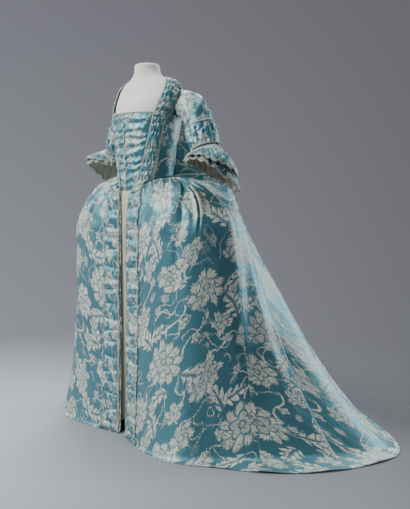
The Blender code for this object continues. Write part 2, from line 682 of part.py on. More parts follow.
def skirt_base(station, down):
    """Outer face of the robe's skirt without its folds."""
    station, down = np.broadcast_arrays(station, down)
    row = smooth(np.arange(len(SKIRT)), columns(SKIRT, *Station._fields), station)
    seam = on_body(TORSO, row[..., 0], waist_line(row[..., 0]) - SEAM)
    sack = sack_table()
    behind = smooth(sack[:, 0], sack[:, 1:], station)
    inside = ((station > SACK_SEAM) & (station < LAST - SACK_SEAM))[..., None]
    waist = np.where(inside, behind, seam)
    run = row[..., 5]
    wave = 0.5 + 0.5 * np.sin(station * TRAIN_WAVE_TURN)
    wave = TRAIN_WAVE * wave * ease(run, 0.02, 0.10)
    lie = HEM_LIE + CLOTH * ease(run, 0.01, 0.03) + wave
    inward = np.minimum(station - SACK_SEAM, LAST - SACK_SEAM - station)
    free = ease(inward, 0.0, 1.0)
    return fall(waist, row[..., 1:3], row[..., 3:5], run, row[..., 6], down, lie, free)


def skirt(station, down):
    """Outer face of the robe's skirt, its folds included."""
    station, down = np.broadcast_arrays(station, down)
    step = STATION_STEP
    left = skirt_base(np.clip(station - step, 0.0, LAST), down)
    right = skirt_base(np.clip(station + step, 0.0, LAST), down)
    above = skirt_base(station, np.clip(down - step, 0.0, 2.0))
    below = skirt_base(station, np.clip(down + step, 0.0, 2.0))
    normal = np.cross(below - above, right - left)
    normal = normal / np.maximum(np.linalg.norm(normal, axis=-1, keepdims=True), 1e-12)
    fold = skirt_folds(station, down / 2.0)
    return skirt_base(station, down) + normal * fold[..., None]


def down_rows():
    """Places of the skirt's rows, from the waist to the hem."""
    over = np.array([0.0, 0.15, 0.34, 0.56, 0.78])
    below = np.array([0.0, 0.12, 0.26, 0.42, 0.57, 0.70, 0.80, FLOOR_ROWS, 0.93, 1.0])
    return np.concatenate([over, 1.0 + below])


def seam_gap(station, down):
    """Share of a station that keeps a column one seam gap from a seam."""
    step = STATION_STEP
    spread = skirt_base(station + step, down) - skirt_base(station - step, down)
    metres = np.linalg.norm(spread, axis=-1) / (2.0 * step)
    return SEAM / np.maximum(metres, 0.01)


def fold_columns(start, end, widest):
    """Stations of a width's columns: three to a trough, one to a ridge, none far apart."""
    places = [start, end]
    for fold in FOLDS:
        if start < fold.station < end:
            sides = (-0.9, 0.0, 0.9) if fold.depth < -0.010 else (0.0,)
            places += [fold.station + side * fold.width for side in sides]
    places = sorted(places)
    filled = [places[0]]
    for place_after in places[1:]:
        pieces = math.ceil((place_after - filled[-1]) / widest)
        filled += list(np.linspace(filled[-1], place_after, pieces + 1)[1:])
    return np.array(filled)


def width(start, end):
    """Stations of a width's columns, row by row, kept off both of its seams."""
    down = down_rows()[:, None]
    places = (fold_columns(start, end, WIDEST_COLUMN) - start) / (end - start)
    first = np.full(down.shape, start)
    if start > 0.0:
        first = first + seam_gap(start, down)
    last = end - seam_gap(end, down)
    return first + (last - first) * places[None, :]


def sack_back():
    """The pleated back: hangs free from the neck and runs out into the train."""
    first, last = SACK_SEAM, LAST - SACK_SEAM
    half = np.array([7.0, 7.5, 7.97, 8.45, 9.0, 9.40, 9.50, 9.60, 9.92])
    places = np.concatenate([half, [10.0], (first + last - half)[::-1]])
    down = down_rows()[:, None]
    station = np.repeat(places[None, :], len(down), axis=0)
    station[:, 0] += SACK_SEAM_GAPS * seam_gap(first, down)[:, 0]
    station[:, -1] -= SACK_SEAM_GAPS * seam_gap(last, down)[:, 0]
    lower = skirt(station, down)

    seats = [(first, SACK_NECK_EDGE)]
    seats += [(row.station, row.neck_x) for row in SACK_WAIST]
    seats = np.array(seats + [(last, -SACK_NECK_EDGE)])
    neck_x = smooth(seats[:, 0], seats[:, 1:], places)[:, 0]
    half_width = on_body(TORSO, 90.0, NECK_SEAM_Z)[0]
    degrees = 180.0 - np.degrees(np.arcsin(neck_x / half_width))
    top = on_body(TORSO, degrees, NECK_SEAM_Z - 2.0 * SEAM)
    top = top + np.array([0.0, SACK_STAND, 0.0])
    hang = np.array([0.0, 0.10, 0.25, 0.45, 0.65, 0.85])[:, None]
    upper = top[None] + (lower[0] - top)[None] * hang[..., None]
    upper[..., 1] += SACK_BOW * np.sin(math.pi * hang)
    for edge, turn in ((0, 0.6), (-1, -0.6)):
        angle = 180.0 - math.copysign(180.0 - BACK_SEAM_DEGREES, turn) + turn
        line = on_body(TORSO, angle, upper[:, edge, 2])
        away = line * np.array([1.0, 1.0, 0.0])
        away = away / np.linalg.norm(away, axis=1, keepdims=True)
        upper[:, edge] = line + away * (CLOTH + LIFT)
    inner = np.isin(np.round(places, 2), SACK_PLEAT_LINES)
    pleat = np.where(inner[None, :], -SACK_PLEAT, 0.0) * ease(hang, 0.0, 0.1)
    return np.concatenate([raised(upper, pleat), lower])


def skirt_band(side):
    """Gathered strip down a front edge of the robe's skirt."""
    per_puff = 3
    count = BAND_PUFFS * per_puff + 1
    length = np.linspace(0.0, 1.0, count)
    over_hoop = (WAIST_LINE[1].z - HIP_Z) / WAIST_LINE[1].z
    down = np.interp(length, [0.0, over_hoop, 1.0], [BAND_START, 1.0, BAND_END])[:, None]
    across = np.array([0.0, 0.22, 0.78, 1.0])[None, :]
    station = BAND_INNER + (BAND_OUTER - BAND_INNER) * across
    if side == "right":
        station = (LAST - station)[:, ::-1]
    along = np.linspace(0.0, 1.0, count)[:, None] * BAND_PUFFS
    puff = np.abs(np.sin(math.pi * (along + 0.06 * np.sin(1.7 * along))))
    relief = BAND_PUFF * puff * np.array([0.0, 1.0, 1.0, 0.0])[None, :]
    return raised(skirt(station, down), LIFT + TRIM + relief)


def petticoat():
    """The plain skirt under the robe, all round."""
    half = columns(PETTICOAT, *Petticoat._fields)
    other = half[::-1][1:] * np.array([-1.0, 1.0, -1.0, 1.0, -1.0, 1.0])
    other[:, 0] += 360.0
    table = np.concatenate([half, other])
    station = np.arange(PETTICOAT_COLUMNS) * (len(table) - 1.0) / PETTICOAT_COLUMNS
    row = smooth(np.arange(len(table)), table, station[None, :])
    down = np.array([0.0, 0.25, 0.55, 1.0, 1.45, 2.0])[:, None]
    waist = on_body(TORSO, row[..., 0], waist_line(row[..., 0]) + row[..., 1])
    inward = waist * np.array([1.0, 1.0, 0.0])
    inward = inward / np.linalg.norm(inward, axis=-1, keepdims=True)
    waist = waist - inward * PETTICOAT_DEPTH
    over = np.clip(down, 0.0, 1.0) * math.pi / 2.0
    hip = row[..., 2:4]
    hip_z = HIP_Z - PETTICOAT_DROP
    upper = waist[..., :2] + (hip - waist[..., :2]) * np.sin(over)[..., None]
    upper_z = hip_z + (waist[..., 2] - hip_z) * np.cos(over) ** 1.25
    below = np.clip(down - 1.0, 0.0, 1.0)
    lower = hip + (row[..., 4:6] - hip) * below[..., None]
    lower_z = hip_z + (PETTICOAT_HEM_Z - hip_z) * below
    above = down <= 1.0
    plan = np.where(above[..., None], upper, lower)
    z = np.where(above, upper_z, lower_z)
    return np.concatenate([plan, z[..., None]], axis=-1)


# The buttons -------------------------------------------------------------------------
def build_buttons(finish, collection):
    """Small domed buttons down the centre front, clear of the compere's edges."""
    for index in range(BUTTONS):
        z = BUTTON_TOP_Z - index * BUTTON_SPACING
        face = on_body(TORSO, 0.0, z)
        mesh = bpy.data.meshes.new("compere_button_%02d" % (index + 1))
        shape = bmesh.new()
        bmesh.ops.create_cone(shape, cap_ends=True, segments=8, radius1=BUTTON_RADIUS,
                              radius2=BUTTON_RADIUS * 0.55, depth=BUTTON_HEIGHT)
        for vert in shape.verts:
            x, y, h = vert.co
            vert.co = (x, face[1] - h - BUTTON_HEIGHT / 2.0 - BUTTON_SEAT, z + y)
        bmesh.ops.recalc_face_normals(shape, faces=shape.faces)
        shape.to_mesh(mesh)
        shape.free()
        place(mesh, mesh.name, finish, collection)


# Assembly ----------------------------------------------------------------------------
def build_bodice(silk, trim, collection):
    """False fronts, robe bodice, shoulder straps and the strips that border them."""
    waist_row = len(ROBING) - 1.0
    robing = strip_on_body(NECK_TRIM_END + TRIM_GAP, waist_row, ROBING_PUFFS, ROBING_PUFF)
    pairs = [
        ("compere", compere(), silk, CLOTH),
        ("bodice", bodice_side(), silk, CLOTH),
        ("shoulder", strap(), silk, CLOTH),
        ("robing", robing, trim, TRIM),
    ]
    for name, points, finish, wall in pairs:
        cloth(name + "_left", points, finish, collection, wall=wall)
        cloth(name + "_right", mirrored(points), finish, collection, wall=wall)
    cloth("bodice_back", bodice_back(), silk, collection)
    half = strip_on_body(0.0, NECK_TRIM_END - TRIM_GAP, NECK_PUFFS // 2, ROBING_PUFF)
    other = mirrored(half)[::-1]
    cloth("neck_trim", np.concatenate([other[:-1], half]), trim, collection, wall=TRIM)


def build_sleeves(silk, trim, collection):
    """Both sleeves with their bands and ruffles."""
    pairs = [
        ("sleeve", sleeve(), silk, CLOTH),
        ("sleeve_band", sleeve_band(), trim, TRIM),
        ("flounce_upper", flounce(UPPER_SHARE, UPPER_OUT), silk, CLOTH),
        ("flounce_lower", flounce(1.0, FLOUNCE_OUT), silk, CLOTH),
    ]
    for name, points, finish, wall in pairs:
        cloth(name + "_left", points, finish, collection, ring=True, wall=wall)
        cloth(name + "_right", mirrored(points), finish, collection, ring=True, wall=wall)


def build_skirts(silk, trim, ivory, collection):
    """The robe's skirt in its widths, its border strips and the petticoat."""
    down = down_rows()[:, None]
    front = width(0.0, SIDE_SEAM)
    side = width(SIDE_SEAM, SACK_SEAM)
    cloth("skirt_front_left", skirt(front, down), silk, collection)
    cloth("skirt_side_left", skirt(side, down), silk, collection)
    cloth("skirt_front_right", skirt((LAST - front)[:, ::-1], down), silk, collection)
    cloth("skirt_side_right", skirt((LAST - side)[:, ::-1], down), silk, collection)
    cloth("sack_back", sack_back(), silk, collection)
    cloth("skirt_band_left", skirt_band("left"), trim, collection, wall=TRIM)
    cloth("skirt_band_right", skirt_band("right"), trim, collection, wall=TRIM)
    cloth("petticoat", petticoat(), ivory, collection, ring=True)


def main():
    """Build the whole part."""
    clear_scene()
    collection = bpy.data.collections.new(COLLECTION)
    bpy.context.scene.collection.children.link(collection)
    silk = material("teal_brocade", (0.16, 0.38, 0.45), 0.38)
    trim = material("gathered_brocade", (0.24, 0.45, 0.50), 0.45)
    ivory = material("ivory_silk", (0.72, 0.67, 0.54), 0.50)
    linen = material("white_cover", (0.76, 0.74, 0.71), 0.80)
    metal = material("stand_metal", (0.55, 0.55, 0.54), 0.40, 0.6)
    build_form(linen, metal, collection)
    build_bodice(silk, trim, collection)
    build_sleeves(silk, trim, collection)
    build_skirts(silk, trim, ivory, collection)
    build_buttons(trim, collection)


main()
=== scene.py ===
"""Robe a la francaise on a limbless dress form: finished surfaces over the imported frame.

Metres, +Z up.  The wearer faces -Y and her left is +X.  Each cloth node of the frame is
replaced by a finer sheet on the same surface, with its folds, puffs and gathers.  Grids
run down the garment in rows and counter-clockwise round it in columns, seen from above,
so that they face out, and their UV maps are in metres of cloth, u across and v down.
"""

from __future__ import annotations

import logging
import math
from dataclasses import dataclass, field
from enum import Enum

import bmesh
import bpy
import numpy as np
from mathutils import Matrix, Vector


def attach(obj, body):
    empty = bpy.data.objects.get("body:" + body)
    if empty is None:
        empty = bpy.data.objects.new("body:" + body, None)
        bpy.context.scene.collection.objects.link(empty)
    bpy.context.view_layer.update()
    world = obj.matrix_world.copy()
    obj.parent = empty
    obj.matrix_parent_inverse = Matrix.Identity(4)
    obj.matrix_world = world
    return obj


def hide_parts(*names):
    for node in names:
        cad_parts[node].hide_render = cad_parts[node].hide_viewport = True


Array = np.ndarray
LOG = logging.getLogger("robe")
WHOLE_TURN = 2.0 * math.pi
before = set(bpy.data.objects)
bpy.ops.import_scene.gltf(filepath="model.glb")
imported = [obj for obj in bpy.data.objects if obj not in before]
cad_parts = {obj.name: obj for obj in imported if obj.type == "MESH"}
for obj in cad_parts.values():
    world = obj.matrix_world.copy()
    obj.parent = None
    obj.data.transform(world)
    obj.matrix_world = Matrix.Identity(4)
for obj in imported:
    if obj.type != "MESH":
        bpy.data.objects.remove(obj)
WALL = 0.0011  # finished silk, under the 1.6 mm wall of its solid
SEAM = 0.0003  # what keeps two sheets apart where they are sewn together
FLAT = np.array([1.0, 1.0, 0.0])


class Side(Enum):
    """The wearer's side that a piece lies on."""

    LEFT = "left"
    RIGHT = "right"

    def turn(self, points: Array) -> Array:
        """Bring a grid made for the left onto this side, still facing out."""
        if self is Side.LEFT:
            return points
        return (points * np.array([-1.0, 1.0, 1.0]))[:, ::-1]


class Held(Enum):
    """How a sheet of cloth is held."""

    DRAPED = "draped"
    GATHERED = "gathered"
    STRETCHED = "stretched"


# Curves and grids --------------------------------------------------------------------
def smooth(knots: Array, values: Array, at: Array) -> Array:
    """Read a smooth cubic through a table.

    Args:
        knots: Rising parameter of each row.
        values: One row of values for each knot.
        at: Parameters to read at, of any shape.

    Returns:
        The values there, with one more axis than `at`.
    """
    knots = np.asarray(knots, dtype=float)
    values = np.asarray(values, dtype=float)
    at = np.clip(np.asarray(at, dtype=float), knots[0], knots[-1])
    slopes = np.gradient(values, knots, axis=0)
    span = np.clip(np.searchsorted(knots, at, side="right") - 1, 0, len(knots) - 2)
    step = (knots[span + 1] - knots[span])[..., None]
    f = (at - knots[span])[..., None] / step
    rise = 3.0 * f**2 - 2.0 * f**3
    start = values[span] * (1.0 - rise) + values[span + 1] * rise
    lean_in = slopes[span] * (f - 2.0 * f**2 + f**3)
    lean_out = slopes[span + 1] * (f**3 - f**2)
    return start + step * (lean_in + lean_out)


def ease(value: Array, start: float, end: float) -> Array:
    """Smooth step from 0 at start to 1 at end."""
    f = np.clip((np.asarray(value, float) - start) / (end - start), 0.0, 1.0)
    return f * f * (3.0 - 2.0 * f)


def unit(vectors: Array) -> Array:
    """Vectors brought to length 1."""
    return vectors / np.maximum(np.linalg.norm(vectors, axis=-1, keepdims=True), 1e-12)


def row_places(count: int, start: float = 0.0, end: float = 1.0) -> Array:
    """Even places for the rows of a grid, as one column."""
    return np.linspace(start, end, count)[:, None]


def column_places(count: int, start: float = 0.0, end: float = 1.0) -> Array:
    """Even places for the columns of a grid, as one row."""
    return np.linspace(start, end, count)[None, :]


def column_at(grid: Array, place: Array) -> Array:
    """Values of a grid at whole or part columns, straight between two neighbours."""
    low = np.minimum(np.floor(place).astype(int), grid.shape[1] - 2)
    part = place - low
    return grid[:, low] * (1.0 - part) + grid[:, low + 1] * part


def ripple(x: Array, y: Array, seed: int, short: float, long: float, waves: int = 9) -> Array:
    """Uneven swell: a sum of plane waves of seeded heading, length and phase, about -1 to 1.

    Args:
        x: First coordinate, in metres.
        y: Second coordinate, in metres.
        seed: Seed of the waves.
        short: Shortest wave length.
        long: Longest wave length.
        waves: How many waves are added.

    Returns:
        The height at each point.
    """
    chance = np.random.RandomState(seed)
    total = np.zeros(np.broadcast_shapes(np.shape(x), np.shape(y)))
    for _ in range(waves):
        heading, phase = chance.uniform(0.0, WHOLE_TURN, 2)
        turn = WHOLE_TURN / chance.uniform(short, long)
        total = total + np.sin(turn * (x * math.cos(heading) + y * math.sin(heading)) + phase)
    return total / (0.62 * waves)


def facing(points: Array, ring: bool = False) -> Array:
    """Outward unit normal at each point of a grid: down the rows crossed with across."""
    across = np.gradient(points, axis=1)
    if ring:
        across = np.roll(points, -1, axis=1) - np.roll(points, 1, axis=1)
    normal = np.cross(np.gradient(points, axis=0), across)
    return unit(normal)


def raised(points: Array, height: Array, ring: bool = False) -> Array:
    """Move a grid out along its normals by a height for each point."""
    height = np.broadcast_to(np.asarray(height, float), points.shape[:2])
    return points + facing(points, ring) * height[..., None]


def run_length(points: Array, axis: int) -> Array:
    """Length travelled along an axis of a grid, from 0 at its first row or column."""
    steps = np.linalg.norm(np.diff(points, axis=axis), axis=-1)
    start = np.zeros_like(np.take(steps, [0], axis=axis))
    return np.concatenate([start, np.cumsum(steps, axis=axis)], axis=axis)


def metric_uv(points: Array, anchor: float = 0.5, ring: bool = False) -> Array:
    """Cloth coordinates of a grid: lengths along its rows and columns.

    Args:
        points: The grid.
        anchor: Share of the columns from which lengths across are counted.
        ring: Whether the columns close on themselves.

    Returns:
        u and v at each point; a ring has one more column of them.
    """
    if ring:
        points = np.concatenate([points, points[:, :1]], axis=1)
    u = run_length(points, 1)
    column = int(round(anchor * (points.shape[1] - 1)))
    return np.stack([u - u[:, column : column + 1], run_length(points, 0)], axis=-1)


def surface(name: str, points: Array, uv: Array | None, material: bpy.types.Material,
            ring: bool = False, wall: float = 0.0,
            inside: bpy.types.Material | None = None) -> bpy.types.Object:
    """Make a grid of points an object that rides on the part.

    Args:
        name: Name of the piece.
        points: Rows by columns of positions.
        uv: Cloth coordinates of the points, or None to measure them.
        material: Finish of the piece.
        ring: Whether the columns close on themselves.
        wall: Thickness that Solidify gives inside the grid, if any.
        inside: Finish of the inner face, where it isn't the outer one's.

    Returns:
        The new object.
    """
    rows, cols = points.shape[:2]
    uv = metric_uv(points, ring=ring) if uv is None else uv
    last = cols if ring else cols - 1
    row, col = np.meshgrid(np.arange(rows - 1), np.arange(last), indexing="ij")
    after = (col + 1) % cols
    near, far = row * cols, (row + 1) * cols
    corners = np.stack([near + col, far + col, far + after, near + after], axis=-1).reshape(-1)
    maps = [uv[row, col], uv[row + 1, col], uv[row + 1, col + 1], uv[row, col + 1]]
    mesh = bpy.data.meshes.new(name)
    mesh.vertices.add(rows * cols)
    mesh.vertices.foreach_set("co", points.astype(np.float32).reshape(-1))
    mesh.loops.add(len(corners))
    mesh.loops.foreach_set("vertex_index", corners.astype(np.int32))
    mesh.polygons.add(len(corners) // 4)
    mesh.polygons.foreach_set("loop_start", np.arange(0, len(corners), 4, dtype=np.int32))
    layer = mesh.uv_layers.new(name="Cloth")
    layer.data.foreach_set("uv", np.stack(maps, axis=2).astype(np.float32).reshape(-1))
    mesh.update(calc_edges=True)
    mesh.materials.append(material)
    mesh.shade_smooth()
    made = bpy.data.objects.new(name, mesh)
    bpy.context.scene.collection.objects.link(made)
    if wall > 0.0:
        solid = made.modifiers.new("Wall", "SOLIDIFY")
        solid.thickness = wall
        solid.offset = -1.0
        solid.use_rim = True
        if inside is not None:
            mesh.materials.append(inside)
            solid.material_offset = 1
    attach(made, "root")
    down, wide = run_length(points, 0)[-1].max(), run_length(points, 1)[:, -1].max()
    area = sum(face.area for face in mesh.polygons)
    LOG.info("%s: %d faces, %.3f by %.3f m, %.3f m2", name, len(mesh.polygons), wide, down, area)
    return made


def welded(piece: bpy.types.Object) -> bpy.types.Object:
    """Close the poles of a turned grid and point its faces outwards."""
    shape = bmesh.new()
    shape.from_mesh(piece.data)
    bmesh.ops.remove_doubles(shape, verts=shape.verts, dist=1e-6)
    bmesh.ops.recalc_face_normals(shape, faces=shape.faces)
    shape.to_mesh(piece.data)
    shape.free()
    return piece


def stand_for(piece: bpy.types.Object, node: str) -> bpy.types.Object:
    """Let a piece replace a node of the frame by hiding the node."""
    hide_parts(node)
    return piece


@dataclass(frozen=True)
class Cut:
    """The flat cut of what shows of a sheet, in metres, how it is held and on what."""

    width: float
    length: float
    area: float
    held: Held
    under: str


CUTS = {
    "petticoat": Cut(2.32, 1.10, 1.96, Held.GATHERED, "dress_form"),
    "skirt_front_left": Cut(0.80, 1.34, 0.65, Held.GATHERED, "petticoat"),
    "skirt_front_right": Cut(1.03, 1.36, 0.70, Held.GATHERED, "petticoat"),
    "skirt_side_left": Cut(0.33, 1.41, 0.25, Held.GATHERED, "petticoat"),
    "skirt_side_right": Cut(0.59, 1.53, 0.36, Held.GATHERED, "petticoat"),
    "sack_back": Cut(1.66, 1.83, 1.56, Held.GATHERED, "bodice_back"),
    "skirt_band_left": Cut(0.125, 1.30, 0.160, Held.GATHERED, "skirt_front_left"),
    "skirt_band_right": Cut(0.115, 1.30, 0.149, Held.GATHERED, "skirt_front_right"),
    "compere": Cut(0.18, 0.34, 0.043, Held.DRAPED, "dress_form"),
    "bodice": Cut(0.21, 0.30, 0.041, Held.STRETCHED, "dress_form"),
    "bodice_back": Cut(0.23, 0.30, 0.059, Held.STRETCHED, "dress_form"),
    "shoulder": Cut(0.11, 0.24, 0.015, Held.STRETCHED, "dress_form"),
    "robing": Cut(0.095, 0.63, 0.038, Held.GATHERED, "shoulder_left"),
    "neck_trim": Cut(0.055, 0.34, 0.017, Held.GATHERED, "sack_back"),
    "sleeve": Cut(0.36, 0.33, 0.086, Held.DRAPED, "shoulder_left"),
    "sleeve_band": Cut(0.42, 0.100, 0.042, Held.GATHERED, "sleeve_left"),
    "flounce_upper": Cut(0.78, 0.140, 0.046, Held.GATHERED, "sleeve_left"),
    "flounce_lower": Cut(0.82, 0.190, 0.061, Held.GATHERED, "sleeve_left"),
}


def sheet_for(piece: bpy.types.Object, node: str) -> None:
    """Let a piece of cloth replace a node, and look up its flat cut, which is not used further.

    Args:
        piece: The cloth.
        node: Node of the frame that it stands for; its side is left off in the cuts
            that are the same on both sides.
    """
    stand_for(piece, node)
    cut = CUTS[node] if node in CUTS else CUTS[node.rsplit("_", 1)[0]]


# Finishes ----------------------------------------------------------------------------
Colour = tuple[float, float, float]
Finishes = dict[str, bpy.types.Material]
NUMBER = "NodeSocketFloat"
VECTOR = "NodeSocketVector"


def fed(node: bpy.types.Node, inputs: dict[str | int, object]) -> bpy.types.Node:
    """Give a node its inputs: a field or a socket is linked, and anything else is set."""
    for label, value in inputs.items():
        value = value.socket if isinstance(value, Field) else value
        if isinstance(value, bpy.types.NodeSocket):
            node.id_data.links.new(value, node.inputs[label])
        else:
            node.inputs[label].default_value = value
    return node


def node_in(tree: bpy.types.NodeTree, kind: str, inputs: dict[str | int, object],
            **settings: object) -> bpy.types.Node:
    """Add a shader node.

    Args:
        tree: The tree that it joins.
        kind: Blender's name of the node, after "ShaderNode".
        inputs: What goes into it, by name or place.
        settings: Its properties.

    Returns:
        The node.
    """
    node = tree.nodes.new("ShaderNode" + kind)
    for label, value in settings.items():
        setattr(node, label, value)
    return fed(node, inputs)


class Field:
    """A number in a shader tree; arithmetic on it adds Math nodes."""

    def __init__(self, socket: bpy.types.NodeSocket) -> None:
        """Wrap an output socket of a tree."""
        self.socket = socket
        self.tree = socket.id_data

    def math(self, operation: str, *others: Field | float, clamp: bool = False) -> Field:
        """Add one Math node.

        Args:
            operation: Blender's name of the operation.
            others: Its further inputs, fields or constants.
            clamp: Whether the result is kept from 0 to 1.

        Returns:
            The node's result.
        """
        inputs = dict(enumerate((self, *others)))
        node = node_in(self.tree, "Math", inputs, operation=operation, use_clamp=clamp)
        return Field(node.outputs[0])

    def __add__(self, other: Field | float) -> Field:
        """Sum."""
        return self.math("ADD", other)

    def __sub__(self, other: Field | float) -> Field:
        """Difference."""
        return self.math("SUBTRACT", other)

    def __mul__(self, other: Field | float) -> Field:
        """Product."""
        return self.math("MULTIPLY", other)

    def away(self, start: float) -> Field:
        """The constant less this field."""
        return self.math("MULTIPLY_ADD", -1.0, start)

    def step(self, slope: float, start: float = 0.0) -> Field:
        """Slope times the field plus a start, kept from 0 to 1."""
        return self.math("MULTIPLY_ADD", slope, start, clamp=True)

    def most(self, other: Field | float) -> Field:
        """The larger of two."""
        return self.math("MAXIMUM", other)

    def least(self, other: Field | float) -> Field:
        """The smaller of two."""
        return self.math("MINIMUM", other)

    def sine(self, turn: float = 1.0, phase: float = 0.0) -> Field:
        """Sine of the field times a turn plus a phase."""
        return self.math("MULTIPLY_ADD", turn, phase).math("SINE")

    def size(self) -> Field:
        """Absolute value."""
        return self.math("ABSOLUTE")


def split(vector: bpy.types.NodeSocket) -> list[Field]:
    """The x, y and z of a vector."""
    apart = node_in(vector.id_data, "SeparateXYZ", {0: vector})
    return [Field(socket) for socket in apart.outputs]


def noise(vector: bpy.types.NodeSocket, scale: float, detail: float,
          distortion: float = 0.0) -> Field:
    """Smooth noise over a vector, from 0 to 1."""
    inputs = {"Vector": vector, "Scale": scale, "Detail": detail, "Distortion": distortion}
    return Field(node_in(vector.id_data, "TexNoise", inputs).outputs["Fac"])


def blended(share: Field, first: Field, second: Field) -> Field:
    """Mix two numbers by a share."""
    return Field(node_in(share.tree, "Mix", {0: share, 2: first, 3: second}).outputs[0])


def mixed(share: Field, first: Colour | bpy.types.NodeSocket,
          second: Colour | bpy.types.NodeSocket) -> bpy.types.NodeSocket:
    """Mix two colours, each a colour or a socket, by a share."""
    ends = [(*end, 1.0) if isinstance(end, tuple) else end for end in (first, second)]
    mix = node_in(share.tree, "Mix", {0: share, 6: ends[0], 7: ends[1]}, data_type="RGBA")
    return mix.outputs[2]


def bumped(height: Field, strength: float, distance: float) -> bpy.types.NodeSocket:
    """A normal bent by a height."""
    inputs = {"Strength": strength, "Distance": distance, "Height": height}
    return node_in(height.tree, "Bump", inputs).outputs[0]


def blank(name: str) -> tuple[bpy.types.Material, bpy.types.Node]:
    """A new material and its Principled shader."""
    made = bpy.data.materials.new(name)
    made.use_nodes = True
    return made, made.node_tree.nodes["Principled BSDF"]


class Group:
    """A node group under construction, with the cloth's coordinates as its first input."""

    def __init__(self, name: str, outputs: tuple[str, ...], numbers: tuple[str, ...] = ()) -> None:
        """Make the group with its sockets.

        Args:
            name: Name of the group.
            outputs: Its number outputs.
            numbers: Its number inputs, after the cloth's coordinates.
        """
        self.tree = bpy.data.node_groups.new(name, "ShaderNodeTree")
        sockets = self.tree.interface
        sockets.new_socket("Cloth", in_out="INPUT", socket_type=VECTOR)
        for label in numbers:
            sockets.new_socket(label, in_out="INPUT", socket_type=NUMBER)
        for label in outputs:
            sockets.new_socket(label, in_out="OUTPUT", socket_type=NUMBER)
        self.start = self.tree.nodes.new("NodeGroupInput")
        self.end = self.tree.nodes.new("NodeGroupOutput")
        self.cloth = self.start.outputs["Cloth"]


@dataclass(frozen=True)
class Bloom:
    """A flower in the repeat: its place and radius in metres, and how it is cut.

    deep is the depth of the cuts between its petals and heart its heart's radius, both as
    shares of its own radius.
    """

    x: float
    y: float
    size: float
    petals: float
    deep: float
    heart: float
    turn: float = 0.0

    @property
    def cut(self) -> tuple[float, float, float]:
        """Its petals, their cuts and its heart, as one vector."""
        return self.petals, self.deep, self.heart


@dataclass(frozen=True)
class Spray:
    """A leaf or a stem in the repeat: where it starts, its heading in degrees and its length."""

    kind: str
    x: float
    y: float
    turn: float
    size: float


